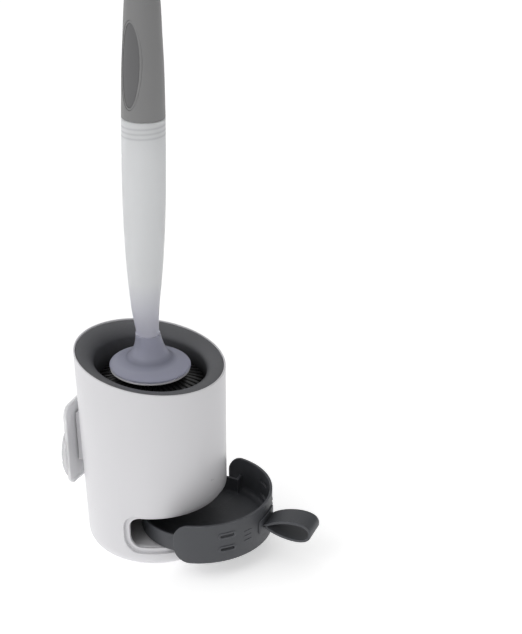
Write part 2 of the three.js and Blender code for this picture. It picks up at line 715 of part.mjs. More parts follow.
function endCap() {
  const plug = GRIP_MOUTH - CLEARANCE;
  const dome = [];
  const steps = 6;
  for (let i = 0; i <= steps; i += 1) {
    const angle = (i / steps) * (Math.PI / 2);
    dome.push([GRIP_END * Math.cos(angle), GRIP_TOP + CLEARANCE + END_CAP_HEIGHT * Math.sin(angle)]);
  }
  dome[steps][0] = 0;
  const low = GRIP_TOP - END_CAP_HEIGHT;
  return turned([[0, low], [plug, low], [plug, GRIP_TOP + CLEARANCE], ...dome]);
}

const BEZEL_INSIDE = BEZEL_WIDTH + CLEARANCE;

function bezel() {
  return cut(common(gripLayer(BUTTON_SINK / 2, GRIP_WALL), ovalTool(CLEARANCE)), ovalTool(BEZEL_INSIDE));
}

function thumbPad() {
  return common(gripLayer(BUTTON_SINK, BUTTON_DEPTH), ovalTool(BEZEL_INSIDE + CLEARANCE));
}

// Squeeze bulb behind the thumb pad, standing on the spigot over the air valve.
function bulb() {
  const low = BUTTON_LEVEL - BULB_LENGTH / 2;
  const high = BUTTON_LEVEL + BULB_LENGTH / 2;
  const neck = BULB_RADIUS / 2;
  return turned([
    [0, SPIGOT_TOP + CLEARANCE],
    [neck, SPIGOT_TOP + CLEARANCE],
    [neck, low],
    [BULB_RADIUS, low + neck],
    [BULB_RADIUS, high - neck],
    [neck, high],
    [0, high],
  ], SMALL);
}

function airValve() {
  const bore = SPIGOT_CORE - SPIGOT_WALL - CLEARANCE;
  return disc(bore, CAP_LOW, SPIGOT_TOP, SMALL);
}

const sealRadius = SPIGOT_CORE + SEAL_SECTION + CLEARANCE;
add(handle, 'cap_seal', ringOf(sealRadius, SEAL_SECTION - CLEARANCE / 2, SEAL_LEVEL), blackRubber);
add(handle, 'threaded_spigot', spigot(), darkPlastic);
add(handle, 'grip_shell', gripShell(), greyPlastic);
add(handle, 'button_bezel', bezel(), darkPlastic);
add(handle, 'thumb_pad', thumbPad(), softGrey);
add(handle, 'grip_end_cap', endCap(), greyPlastic);
add(handle, 'squeeze_bulb', bulb(), blackRubber);
add(handle, 'air_valve', airValve(), valveRubber);

// ---------- brush head ----------

const PLATE_HIGH = DISC_EDGE - HEAD_PLATE_DROP;
const PLATE_LOW = PLATE_HIGH - HEAD_PLATE_THICKNESS;

// Lower disc with the nozzle that plugs into the tank's foot.
function headPlate() {
  const top = TANK_FOOT - CLEARANCE;
  const edge = DISC_RADIUS - HEAD_PLATE_INSET;
  return turned([
    [CORE_BORE, PLATE_LOW],
    [edge, PLATE_LOW],
    [edge, PLATE_HIGH],
    [HEAD_NECK, PLATE_HIGH],
    [HEAD_NECK - HEAD_NECK_TAPER, top],
    [CORE_BORE, top],
    [CORE_BORE, PLATE_LOW],
  ]);
}

const HEAD_BOTTOM = LINER_FLOOR + HEAD_STAND - (HOLDER_HEIGHT - DISC_SINK);
const TIP_TOP = HEAD_BOTTOM + TIP_HEIGHT;
const LAST_ROW = TIP_TOP + HUB_HEIGHT / 2 + 2 * CLEARANCE;
const ROW_SPACING = (FIRST_ROW - LAST_ROW) / (ROW_COUNT - 1);

function core() {
  return tube(CORE_RADIUS, CORE_BORE, TIP_TOP + CLEARANCE, PLATE_LOW - CLEARANCE, SMALL);
}

function tip() {
  const dome = [];
  const steps = 5;
  for (let i = 0; i <= steps; i += 1) {
    const angle = (i / steps) * (Math.PI / 2);
    const radius = CORE_BORE + (HUB_RADIUS - CORE_BORE) * Math.sin(angle);
    dome.push([radius, HEAD_BOTTOM + TIP_HEIGHT * (1 - Math.cos(angle))]);
  }
  return turned([[CORE_BORE, TIP_TOP], ...dome, [CORE_BORE, TIP_TOP]], SMALL);
}

// One bristle: a four-sided finger that tapers and droops towards its tip.
function bristle(reach) {
  const root = HUB_RADIUS - BRISTLE_BITE;
  const line = new THREE.QuadraticBezierCurve3(
    new THREE.Vector3(root, 0, 0),
    new THREE.Vector3((root + reach) / 2, 0, 0),
    new THREE.Vector3(reach, 0, -BRISTLE_DROOP),
  );
  const steps = 2;
  const corners = [];
  for (let i = 0; i <= steps; i += 1) {
    const share = i / steps;
    const middle = line.getPoint(share);
    const half = THREE.MathUtils.lerp(BRISTLE_ROOT, BRISTLE_TIP, share);
    corners.push([middle.x, half, middle.z], [middle.x, 0, middle.z + half]);
    corners.push([middle.x, -half, middle.z], [middle.x, 0, middle.z - half]);
  }
  const faces = [0, 1, 2, 0, 2, 3];
  const last = steps * 4;
  faces.push(last, last + 2, last + 1, last, last + 3, last + 2);
  for (let i = 0; i < steps; i += 1) {
    for (let side = 0; side < 4; side += 1) {
      const here = i * 4 + side;
      const beside = i * 4 + ((side + 1) % 4);
      faces.push(here, beside + 4, beside, here, here + 4, beside + 4);
    }
  }
  const geometry = new THREE.BufferGeometry();
  geometry.setAttribute('position', new THREE.Float32BufferAttribute(corners.flat(), 3));
  geometry.setIndex(faces);
  return facesOut(geometry);
}

function bristleRow(row) {
  const gap = THREE.MathUtils.lerp(TOP_BRISTLE_GAP, BOTTOM_BRISTLE_GAP, row / (ROW_COUNT - 1));
  const reach = LINER_RADIUS - gap;
  const turn = (2 * Math.PI) / BRISTLES_PER_ROW;
  const hub = tube(HUB_RADIUS, CORE_RADIUS + CLEARANCE, -HUB_HEIGHT / 2, HUB_HEIGHT / 2, BRISTLES_PER_ROW);
  const fingers = [];
  for (let i = 0; i < BRISTLES_PER_ROW; i += 1) {
    fingers.push(bristle(reach).rotateZ((i + 0.5 * (row % 2)) * turn));
  }
  return join(hub, ...fingers).translate(0, 0, FIRST_ROW - row * ROW_SPACING);
}

add(brush, 'head_plate', headPlate(), whitePlastic);
add(brush, 'brush_core', core(), darkPlastic);
for (let row = 0; row < ROW_COUNT; row += 1) {
  add(brush, `bristle_row_${row + 1}`, bristleRow(row), blackRubber);
}
add(brush, 'head_tip', tip(), darkPlastic);

export default part;
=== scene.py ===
import json
import math

import bpy
from mathutils import Matrix, Vector


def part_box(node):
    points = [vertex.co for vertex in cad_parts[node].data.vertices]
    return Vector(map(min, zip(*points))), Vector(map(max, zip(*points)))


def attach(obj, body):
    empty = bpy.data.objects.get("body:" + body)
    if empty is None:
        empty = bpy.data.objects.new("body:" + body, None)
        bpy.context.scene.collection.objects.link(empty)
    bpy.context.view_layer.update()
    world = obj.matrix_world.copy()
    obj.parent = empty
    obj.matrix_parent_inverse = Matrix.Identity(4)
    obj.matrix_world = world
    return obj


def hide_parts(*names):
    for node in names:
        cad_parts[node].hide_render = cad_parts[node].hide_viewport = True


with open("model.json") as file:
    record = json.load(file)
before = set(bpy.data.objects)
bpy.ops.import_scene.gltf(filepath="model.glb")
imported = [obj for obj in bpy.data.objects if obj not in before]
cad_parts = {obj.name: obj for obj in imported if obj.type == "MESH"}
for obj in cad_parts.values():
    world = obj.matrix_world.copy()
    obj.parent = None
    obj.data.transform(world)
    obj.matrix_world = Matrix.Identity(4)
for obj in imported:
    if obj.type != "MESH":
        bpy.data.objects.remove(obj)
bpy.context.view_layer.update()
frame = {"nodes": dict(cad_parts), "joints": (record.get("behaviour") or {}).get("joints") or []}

bl_info = {
    "name": "Brush set with drip tray",
    "version": (1, 0, 0),
    "blender": (4, 5, 0),
    "location": "View3D > Sidebar > Brush set",
    "description": "Builds a brush and its holder piece by piece around the packed solids",
    "category": "Add Mesh",
}

MM = 0.001


def span(node, axis):
    """Lowest and highest place of a solid along one axis."""
    low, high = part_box(node)
    return low[axis], high[axis]


# ---------- places taken from the solids ----------

X, Y, Z = 0, 1, 2
RIM_RADIUS = span("holder_shell", X)[1]
SHELL_FOOT = span("holder_shell", Z)[0]
LINER_EDGE = span("liner_cup", X)[1]
LINER_UNDERSIDE = span("liner_cup", Z)[0]
PAD_RADIUS = span("non_slip_pad", X)[1]
PAD_TOP = span("non_slip_pad", Z)[1]
SKIRT_LOW = span("base_cover", Z)[0]
DECK_TOP = span("base_cover", Z)[1]
DECK_RADIUS = span("base_cover", X)[1]
BRACKET_LOW, BRACKET_HIGH = span("wall_bracket", Z)
BRACKET_BACK = span("wall_bracket", Y)[1]
BRACKET_HALF = span("wall_bracket", X)[1]
FILM_FRONT, FILM_BACK = span("adhesive_pad", Y)
FILM_RADIUS = span("adhesive_pad", X)[1]
FILM_LEVEL = sum(span("adhesive_pad", Z)) / 2
LOOP_REACH = span("pull_loop", Y)[0]
LOOP_HALF_WIDTH = span("pull_loop", X)[1]
DISC_RADIUS = span("skirt", X)[1]
LIFT = next(joint for joint in frame["joints"] if joint["name"] == "brush_lift")
LEAN = math.acos(LIFT["axis"][2])


# ---------- sizes that several pieces share ----------

CLEARANCE = 0.3 * MM
FAR = 0.2                         # reaches past the whole holder
ROUND = 160                       # sides of the large round pieces
WELD = MM / 200                   # vertices nearer than this are one
BRACKET_FRONT = BRACKET_BACK - 2.6 * MM
RAIL_LOW = 62 * MM
RAIL_HIGH = 104 * MM
RAIL_STOP = 5 * MM                # closed end of the rail above the tongue
STRAP_SLOT_HALF = 10.3 * MM
DISC_LEVEL = 152.6 * MM           # height of the splash disc
NECK_OFFSET = 3.8 * MM            # the handle's axis behind the head's
NECK_LOW = 2 * MM                 # where the neck starts to swing back, above the disc
NECK_SWING = 50 * MM              # and over what height
SOCKET_RADIUS = 7.9 * MM          # inside of the skirt's neck
VALVE_RADIUS = 4.2 * MM
VALVE_FLANGE = 5.7 * MM
VALVE_LOW, VALVE_TOP = 23 * MM, 37 * MM
CHANNEL_NECK = 5.3 * MM           # half widths of the rail's channel
CHANNEL_HEAD = 8 * MM
CHANNEL_LIP = 2.4 * MM            # lips that hold the tongue's head
CHANNEL_DEPTH = 2.8 * MM          # depth of the channel's head
VENT_LEVELS = (26.4 * MM, 38.2 * MM)
RIB_LEVELS = (28.2 * MM, 32.3 * MM, 36.4 * MM)
RIB_TURN = math.radians(27)
RIB_LENGTH = 8.5 * MM
PLATE_HALF_WIDTH = 14.5 * MM      # raised plate round the pull loop
PLATE_HALF_HEIGHT = 6.75 * MM
STRAP_SLOT_HEIGHT = 2.6 * MM
GRIP_NARROWING = 0.64             # top of the grip as a share of the tank's radius
BUTTON_RISE = 40.2 * MM           # middle of the thumb pad above the tank
END_CAP_HEIGHT = 7 * MM
THREAD_PITCH = 3.6 * MM
THREAD_TOP = 5 * MM               # first turn that shows, below the tank's top
BRISTLE_ROOT = 9.5 * MM
BRISTLE_THICK = 3.1 * MM
BRISTLE_THIN = 2.9 * MM


# ---------- settings ----------

def length(name, description, default):
    return bpy.props.FloatProperty(
        name=name, description=description, default=default, unit="LENGTH", precision=5)


def number(name, description, default, low):
    return bpy.props.FloatProperty(name=name, description=description, default=default, min=low)


def whole(name, description, default, low):
    return bpy.props.IntProperty(name=name, description=description, default=default, min=low)


def angle(name, description, degrees):
    return bpy.props.FloatProperty(
        name=name, description=description, default=math.radians(degrees), subtype="ANGLE")


def colour(name, description, default):
    return bpy.props.FloatVectorProperty(
        name=name, description=description, default=default, subtype="COLOR", min=0, max=1)


def share(name, description, default):
    return bpy.props.FloatProperty(
        name=name, description=description, default=default, subtype="FACTOR", min=0, max=1)


class HolderSettings(bpy.types.PropertyGroup):
    rim_radius: length("Rim radius", "Outside of the shell at its rim", RIM_RADIUS)
    foot_radius: length("Foot radius", "Outside of the shell where its wall would meet the floor", 55.3 * MM)
    height: length("Height", "Middle of the slanted rim above the floor", 159.3 * MM)
    slant: angle("Rim slant", "How far the rim tips down towards the tray", 9.9)
    slant_start: length("Slant start", "Height where the wall starts to follow the slant", 90 * MM)
    wall: length("Wall", "Thickness of the shell", 2.6 * MM)
    foot_fillet: length("Foot fillet", "Rounding of the shell's foot", 13 * MM)
    foot_opening: length("Foot opening", "Radius of the opening that the base fills", 41 * MM)
    lip: length("Lip", "Thickness of the shell's lip round the liner", 1.4 * MM)
    opening_low: length("Opening foot", "Lower edge of the tray opening", 14.9 * MM)
    opening_high: length("Opening head", "Upper edge of the tray opening", 49.6 * MM)
    opening_end: length("Opening end", "How far the opening runs towards the wall", 2.4 * MM)
    opening_corner: length("Opening corner", "Rounding of the opening's ends", 13.5 * MM)
    ledge_width: length("Ledge width", "Ledge that the tray's front closes against", 3.9 * MM)
    liner_radius: length("Liner radius", "Inside of the liner's cup", 43.2 * MM)
    liner_wall: length("Liner wall", "Thickness of the liner", 1.8 * MM)
    roll_drop: length("Roll", "Height of the liner's rolled edge", 8 * MM)


class TraySettings(bpy.types.PropertyGroup):
    out: length("Pulled out", "How far the tray stands out of the holder", 39.2 * MM)
    wall: length("Wall", "Thickness of the tray", 2 * MM)
    cup_radius: length("Cup radius", "Outside of the tray's cup", 47.8 * MM)
    join: length("Join", "Where the cup's wall steps out to the front", 12.5 * MM)
    end_gap: length("End gap", "Further gap at the two ends of the front", 2.2 * MM)
    relief: length("Relief", "How proud the frames and ribs of the front stand", 0.4 * MM)
    cup_height: length("Cup height", "Height of the cup's wall", 14.9 * MM)
    seam: length("Seam", "Gap round the tray's front", 0.8 * MM)
    vent_length: length("Vent length", "Length of a vent in the front", 11.5 * MM)
    vent_height: length("Vent height", "Height of a vent in the front", 2.4 * MM)
    vent_angle: angle("Vent angle", "Turn of the vents from the middle of the front", 46)
    loop_level: length("Loop level", "Height of the pull loop", 32.2 * MM)
    strap: length("Strap", "Thickness of the pull loop's strap", 2 * MM)


class BrushSettings(bpy.types.PropertyGroup):
    neck_radius: length("Neck radius", "Outside of the neck at the seam", 9.5 * MM)
    tank_radius: length("Tank radius", "Outside of the tank under the grip", 15.9 * MM)
    joint_level: length("Seam level", "Seam between skirt and tank above the disc", 25.4 * MM)
    tank_top: length("Tank top", "Top of the tank above the disc", 196.8 * MM)
    tank_wall: length("Tank wall", "Thickness of the tank", 1.6 * MM)
    socket_depth: length("Socket depth", "How far the tank's foot sits in the skirt", 14 * MM)
    grip_top: length("Grip top", "Top of the grip above the disc", 298 * MM)
    grip_wall: length("Grip wall", "Thickness of the grip", 2.2 * MM)
    button_length: length("Thumb pad length", "Length of the oval thumb pad", 64 * MM)
    button_width: length("Thumb pad width", "Width of the oval thumb pad", 19 * MM)
    button_direction: angle("Thumb pad direction", "Direction the thumb pad faces", 165)
    thread_pitch: length("Thread pitch", "Pitch of the cap's screw thread", THREAD_PITCH)
    rows: whole("Bristle rows", "Rows of bristles on the head", 9, 1)
    per_row: whole("Bristles in a row", "Bristles round one row", 42, 8)
    droop: length("Bristle droop", "How far a bristle's tip hangs below its root", 6 * MM)


class FinishSettings(bpy.types.PropertyGroup):
    white: colour("White plastic", "Shell, base and rail", (0.72, 0.715, 0.735))
    liner: colour("Liner plastic", "Liner cup", (0.105, 0.107, 0.115))
    tray: colour("Tray plastic", "Tray, its front and the pull loop", (0.062, 0.065, 0.073))
    grip: colour("Grip plastic", "Grip and its end cap", (0.215, 0.215, 0.216))
    soft: colour("Soft plastic", "Thumb pad", (0.13, 0.13, 0.133))
    tank: colour("Tank plastic", "Tank and the screw plug in it", (0.93, 0.94, 0.95))
    skirt: colour("Skirt plastic", "Splash disc and neck", (0.66, 0.67, 0.79))
    neck: colour("Neck of the tank", "Tank where it meets the splash disc", (0.71, 0.71, 0.81))
    bracket: colour("Bracket plastic", "Wall bracket", (0.97, 0.97, 0.98))
    rubber: colour("Rubber", "Bristles and foot pad", (0.02, 0.02, 0.021))
    dust: share("Dust", "How much dust lies in the pores of the dark pieces", 0.08)


class StageSettings(bpy.types.PropertyGroup):
    floor: colour("Floor", "Colour of the floor", (0.95, 0.95, 0.95))
    azimuth: angle("Camera azimuth", "Direction of the camera round the object", -68)
    elevation: angle("Camera elevation", "Height of the camera above the horizon", 24.885)
    roll: angle("Camera roll", "Turn of the camera about its own line of sight", -0.983)
    distance: length("Camera distance", "From the camera to its target", 1.1219)
    target_side: length("Target side", "Target's place to the right of the holder's axis", 85.7 * MM)
    target_level: length("Target level", "Target's height above the floor", 190 * MM)
    glow: number("Floor glow", "Light of the floor itself", 0.45, 0)
    horizon: number("Horizon light", "Studio light near the floor", 0.28, 0)
    zenith: number("Overhead light", "Studio light from above", 0.8, 0)
    lens: number("Lens", "Focal length in millimetres", 84.1, 10)


# ---------- outlines ----------

def arc(centre, radius, start, end, steps):
    """Points on an arc, both ends included."""
    turns = [start + (end - start) * step / steps for step in range(steps + 1)]
    return [(centre[0] + radius * math.cos(turn), centre[1] + radius * math.sin(turn)) for turn in turns]


def eased(corners, closed=False):
    """Rounds the corners of an outline. Each corner is (out, up, rounding)."""
    count = len(corners)
    line = []
    for index, (out, up, rounding) in enumerate(corners):
        here = Vector((out, up))
        if rounding <= 0 or (not closed and index in (0, count - 1)):
            line.append((out, up))
            continue
        before = (Vector(corners[index - 1][:2]) - here).normalized()
        after = (Vector(corners[(index + 1) % count][:2]) - here).normalized()
        opening = before.angle(after)
        middle = here + (before + after).normalized() * rounding / math.sin(opening / 2)
        first = here + before * rounding / math.tan(opening / 2) - middle
        sweep = math.pi - opening
        steps = max(2, round(sweep / math.pi * 2 * (3 + 500 * rounding)))
        start = math.atan2(first.y, first.x)
        turned_left = before.x * after.y - before.y * after.x
        sweep = math.copysign(sweep, -turned_left)
        line += arc(middle, rounding, start, start + sweep, steps)
    return line + line[:1] if closed else line


def through(points, per_span=6):
    """A smooth line through a few points."""
    line = []
    for index in range(len(points) - 1):
        near = [index - 1, index, index + 1, index + 2]
        a, b, c, d = [Vector(points[min(max(place, 0), len(points) - 1)]) for place in near]
        for step in range(per_span):
            t = step / per_span
            place = b + (c - a) * t / 2
            place += (a - 2.5 * b + 2 * c - d / 2) * t * t
            place += (1.5 * b - a / 2 - 1.5 * c + d / 2) * t ** 3
            line.append(tuple(place))
    return line + [tuple(points[-1])]


def between(inner, outer, low, high, shares):
    """Points given as shares of the way out and up between two radii and two heights."""
    return [(inner + (outer - inner) * out, low + (high - low) * up) for out, up in shares]


# ---------- modelling ----------

def deselect():
    if bpy.context.mode != "OBJECT":
        bpy.ops.object.mode_set(mode="OBJECT")
    bpy.ops.object.select_all(action="DESELECT")


def take(piece):
    """Makes a piece the only one that operators act on."""
    deselect()
    piece.hide_set(False)
    piece.select_set(True)
    bpy.context.view_layer.objects.active = piece
    return piece


def named(name):
    piece = bpy.context.object
    piece.name = name
    piece.data.name = name
    return piece


def settle(piece):
    """Puts a piece's place, turn and size into its mesh."""
    take(piece)
    bpy.ops.object.transform_apply(location=True, rotation=True, scale=True)
    return piece


def apply_modifier(piece, kind, **settings):
    take(piece)
    modifier = piece.modifiers.new(kind.lower(), kind)
    for key, value in settings.items():
        setattr(modifier, key, value)
    bpy.ops.object.modifier_apply(modifier=modifier.name)
    return piece


def draw_line(name, points):
    """Starts from one vertex and extrudes it from point to point."""
    deselect()
    bpy.ops.mesh.primitive_plane_add(size=MM, location=points[0])
    piece = settle(named(name))
    bpy.ops.object.mode_set(mode="EDIT")
    bpy.ops.mesh.select_mode(type="VERT")
    bpy.ops.mesh.select_all(action="SELECT")
    bpy.ops.mesh.merge(type="CENTER")
    for here, there in zip(points, points[1:]):
        step = Vector(there) - Vector(here)
        bpy.ops.mesh.extrude_region_move(TRANSFORM_OT_translate={"value": step})
    return piece


def edit_all(piece):
    """Opens a piece for editing with everything selected."""
    take(piece)
    bpy.ops.object.mode_set(mode="EDIT")
    bpy.ops.mesh.select_all(action="SELECT")


def weld(outward=True):
    """Merges the vertices that lie together, turns the faces outwards and ends the editing."""
    bpy.ops.mesh.select_all(action="SELECT")
    bpy.ops.mesh.remove_doubles(threshold=WELD)
    if outward:
        bpy.ops.mesh.normals_make_consistent(inside=False)
    bpy.ops.object.mode_set(mode="OBJECT")


def spin_all(steps, copies=False):
    bpy.ops.mesh.select_all(action="SELECT")
    bpy.ops.mesh.spin(steps=steps, angle=2 * math.pi, dupli=copies, center=(0, 0, 0), axis=(0, 0, 1))


def turned(name, profile, sides=96):
    """Spins a line of (radius, height) points about the upright axis."""
    piece = draw_line(name, [(radius, 0, height) for radius, height in profile])
    spin_all(sides)
    weld()
    return piece


def block(name, across, along, upright):
    """A cube scaled to reach between two places on each axis."""
    deselect()
    limits = (across, along, upright)
    centre = [(low + high) / 2 for low, high in limits]
    bpy.ops.mesh.primitive_cube_add(size=1, location=centre, scale=[high - low for low, high in limits])
    return settle(named(name))


def pick(piece, kind, parts, wanted):
    """Opens a piece for editing with only the wanted edges or faces selected."""
    take(piece)
    bpy.ops.object.mode_set(mode="EDIT")
    bpy.ops.mesh.select_mode(type=kind)
    bpy.ops.mesh.select_all(action="DESELECT")
    bpy.ops.object.mode_set(mode="OBJECT")
    for part in parts:
        part.select = wanted(part)
    bpy.ops.object.mode_set(mode="EDIT")


def pick_faces(piece, wanted):
    pick(piece, "FACE", piece.data.polygons, wanted)


def round_edges(piece, wanted, width, segments):
    """Rounds the edges whose two ends pass a test."""
    places = piece.data.vertices
    pick(piece, "EDGE", piece.data.edges, lambda edge: wanted(*[places[end].co for end in edge.vertices]))
    bpy.ops.mesh.bevel(offset=width, segments=segments, affect="EDGES")
    bpy.ops.object.mode_set(mode="OBJECT")
    return piece


def combine(piece, tool, operation):
    """Cuts, joins or keeps what two pieces share, and throws the tool away."""
    apply_modifier(piece, "BOOLEAN", object=tool, operation=operation, solver="EXACT")
    bpy.data.objects.remove(tool)
    return piece


def soften(piece, width=0.4 * MM, segments=3, limit=35):
    """Breaks the sharp edges, as a mould does."""
    return apply_modifier(
        piece, "BEVEL", width=width, segments=segments, limit_method="ANGLE",
        angle_limit=math.radians(limit), harden_normals=False, use_clamp_overlap=True)


def shade(piece, limit=40):
    take(piece)
    bpy.ops.object.shade_smooth_by_angle(angle=math.radians(limit), keep_sharp_edges=False)
    return piece


def move_each(piece, change):
    """Moves every vertex by a rule, for shears and swings that no one operator makes."""
    for vertex in piece.data.vertices:
        vertex.co += change(vertex.co)
    return piece


def finish_piece(piece, body, replaced, material, limit=40):
    shade(piece, limit)
    piece.data.materials.clear()
    piece.data.materials.append(material)
    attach(piece, body)
    if replaced:
        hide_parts(*replaced)
    return piece


# ---------- materials ----------

def new_group(name, inputs, outputs):
    group = bpy.data.node_groups.new(name, "ShaderNodeTree")
    for label, default in inputs:
        socket = group.interface.new_socket(name=label, in_out="INPUT", socket_type="NodeSocketFloat")
        socket.default_value = default
    for label, kind in outputs:
        group.interface.new_socket(name=label, in_out="OUTPUT", socket_type=kind)
    entry = group.nodes.new("NodeGroupInput")
    leave = group.nodes.new("NodeGroupOutput")
    return group, entry, leave


def feed(tree, socket, value):
    """Links a socket to another one, or sets it to a value."""
    if isinstance(value, bpy.types.NodeSocket):
        tree.links.new(value, socket)
    else:
        socket.default_value = value


def put(tree, kind, inputs=None, **settings):
    """Adds a node with its settings, then feeds its inputs."""
    node = tree.nodes.new(kind)
    for key, value in settings.items():
        setattr(node, key, value)
    for label, value in (inputs or {}).items():
        feed(tree, node.inputs[label], value)
    return node


def sums(tree, operation, first, second=None, clamp=False):
    """One Math node; each side is a number or a socket."""
    sides = {0: first} if second is None else {0: first, 1: second}
    return put(tree, "ShaderNodeMath", sides, operation=operation, use_clamp=clamp).outputs[0]


def noise(tree, vector, scale, detail=3, roughness=0.5):
    inputs = {"Detail": detail, "Roughness": roughness, "Scale": scale, "Vector": vector}
    return put(tree, "ShaderNodeTexNoise", inputs).outputs["Fac"]


def spread(tree, value, low, high, to_low=0.0, to_high=1.0):
    inputs = {"From Min": low, "From Max": high, "To Min": to_low, "To Max": to_high, "Value": value}
    return put(tree, "ShaderNodeMapRange", inputs, clamp=True).outputs["Result"]


def mix(tree, factor, first, second):
    """Blends two colours, each a socket or three shares of red, green and blue."""
    sides = [value if isinstance(value, bpy.types.NodeSocket) else (*value, 1) for value in (first, second)]
    inputs = {"Factor": factor, 6: sides[0], 7: sides[1]}
    return put(tree, "ShaderNodeMix", inputs, data_type="RGBA").outputs[2]


def texture_place(tree, stretch=(1, 1, 1), shift=(0, 0, 0)):
    place = put(tree, "ShaderNodeTexCoord").outputs["Object"]
    inputs = {"Scale": stretch, "Location": shift, "Vector": place}
    return put(tree, "ShaderNodeMapping", inputs).outputs["Vector"]


def spark_group():
    """Fine grain of a spark-eroded mould: a height for the bump and a mask for the gloss."""
    group, entry, leave = new_group(
        "spark grain", [("Grain", 900.0), ("Flow", 18.0)],
        [("Height", "NodeSocketFloat"), ("Patches", "NodeSocketFloat")])
    place = texture_place(group)
    fine = noise(group, place, entry.outputs["Grain"], 4, 0.6)
    half = sums(group, "MULTIPLY", entry.outputs["Grain"], 0.37)
    inputs = {"Smoothness": 0.6, "Scale": half, "Vector": place}
    cells = put(group, "ShaderNodeTexVoronoi", inputs, feature="SMOOTH_F1")
    dimples = sums(group, "MULTIPLY", cells.outputs["Distance"], 0.3)
    height = sums(group, "ADD", sums(group, "MULTIPLY", fine, 0.7), dimples)
    broad = noise(group, place, entry.outputs["Flow"], 3, 0.55)
    streaks = noise(group, texture_place(group, (40, 40, 6), (3, 1, 2)), 1.0, 2)
    patches = sums(group, "ADD", sums(group, "MULTIPLY", broad, 0.65), sums(group, "MULTIPLY", streaks, 0.35))
    group.links.new(height, leave.inputs["Height"])
    group.links.new(patches, leave.inputs["Patches"])
    return group


def handled_group():
    """A mask of painted highlight on outward edges, and one of faint finger smudges."""
    group, entry, leave = new_group(
        "handled", [("Edge", 0.5), ("Smudge", 30.0)],
        [("Edges", "NodeSocketFloat"), ("Smudges", "NodeSocketFloat")])
    surface = put(group, "ShaderNodeNewGeometry").outputs["Normal"]
    rounded = put(group, "ShaderNodeBevel", {"Radius": 0.8 * MM}, samples=4).outputs["Normal"]
    along = put(group, "ShaderNodeVectorMath", {0: surface, 1: rounded}, operation="DOT_PRODUCT")
    sharp = spread(group, along.outputs["Value"], 0.998, 0.94)
    place = texture_place(group, (1, 1, 1), (0.3, 0.7, 0.1))
    broken = noise(group, place, 160.0, 4, 0.65)
    edges = sums(group, "MULTIPLY", sharp, spread(group, broken, 0.35, 0.65))
    edges = sums(group, "MULTIPLY", edges, entry.outputs["Edge"], True)
    blots = noise(group, place, entry.outputs["Smudge"], 5, 0.6)
    group.links.new(edges, leave.inputs["Edges"])
    group.links.new(spread(group, blots, 0.48, 0.68), leave.inputs["Smudges"])
    return group


def dust_group():
    """Pale dust that settles on faces that look up, in loose specks."""
    group, entry, leave = new_group(
        "settled dust", [("Amount", 0.2), ("Specks", 700.0)], [("Mask", "NodeSocketFloat")])
    normal = put(group, "ShaderNodeNewGeometry").outputs["Normal"]
    split = put(group, "ShaderNodeSeparateXYZ", {0: normal})
    upward = spread(group, split.outputs["Z"], 0.2, 0.95)
    place = texture_place(group, (1, 1, 1), (0.9, 0.2, 0.4))
    specks = spread(group, noise(group, place, entry.outputs["Specks"], 3, 0.7), 0.52, 0.72)
    cloud = spread(group, noise(group, place, 45.0, 3), 0.35, 0.7)
    mask = sums(group, "MULTIPLY", upward, sums(group, "MULTIPLY", specks, cloud))
    group.links.new(sums(group, "MULTIPLY", mask, entry.outputs["Amount"], True), leave.inputs["Mask"])
    return group


EFFECTS = {}


def effect(tree, name, **values):
    if not EFFECTS:
        EFFECTS.update(spark=spark_group(), handled=handled_group(), dust=dust_group())
    inputs = {label.capitalize(): value for label, value in values.items()}
    return put(tree, "ShaderNodeGroup", inputs, node_tree=EFFECTS[name])


def plastic(
        name, base, roughness, grain=900.0, depth=0.02, shift=0.06, edge=0.3, dust=0.0, lighter=1.35,
        painted_light_tint=None, **shader):
    """A moulded plastic: slightly uneven colour and gloss, spark grain, painted highlights on the edges and
    settled dust.
    """
    finish = f"{name}_finish"
    material = bpy.data.materials.get(finish)
    if material:
        return material
    material = bpy.data.materials.new(finish)
    material.use_nodes = True
    tree = material.node_tree
    principled = tree.nodes["Principled BSDF"]
    spark = effect(tree, "spark", grain=grain)
    handled = effect(tree, "handled", edge=edge)
    base = tuple(base)
    darker = tuple(value * (1 - shift) for value in base)
    highlighted = tuple(min(1, value * lighter + 0.01) for value in base)
    body = mix(tree, spread(tree, spark.outputs["Patches"], 0.3, 0.7), darker, base)
    # an optional tone with painted shade and painted highlights, laid on the body colour
    if painted_light_tint:
        body = painted_light_tint(tree, body)
    # painted highlight along the edges
    body = mix(tree, handled.outputs["Edges"], body, highlighted)
    if dust:
        settled = effect(tree, "dust", amount=dust)
        body = mix(tree, settled.outputs["Mask"], body, (0.55, 0.54, 0.52))
    gloss = spread(tree, spark.outputs["Patches"], 0.3, 0.7, roughness * 0.9, roughness * 1.1)
    gloss = sums(tree, "ADD", gloss, sums(tree, "MULTIPLY", handled.outputs["Smudges"], -0.06), True)
    bump = put(
        tree, "ShaderNodeBump", {"Strength": 0.35, "Distance": depth * MM, "Height": spark.outputs["Height"]})
    shader.update(Base_Color=body, Roughness=gloss, Normal=bump.outputs["Normal"])
    for label, value in shader.items():
        feed(tree, principled.inputs[label.replace("_", " ")], value)
    return material


def colours():
    return bpy.context.scene.brush_finish


def height_in(tree):
    place = put(tree, "ShaderNodeTexCoord").outputs["Object"]
    return put(tree, "ShaderNodeSeparateXYZ", {0: place}).outputs["Z"]


def painted_shade_below(high, low, deep):
    """Painted shade that darkens from the height `high` down to the colour `deep` at the height `low`."""
    return lambda tree, body: mix(tree, spread(tree, height_in(tree), low, high), deep, body)


def band(tree, level, width):
    """1 at a height, falling to 0 at half the width above and below it."""
    away = sums(tree, "ABSOLUTE", sums(tree, "SUBTRACT", height_in(tree), level))
    return spread(tree, away, width / 2, 0.0)


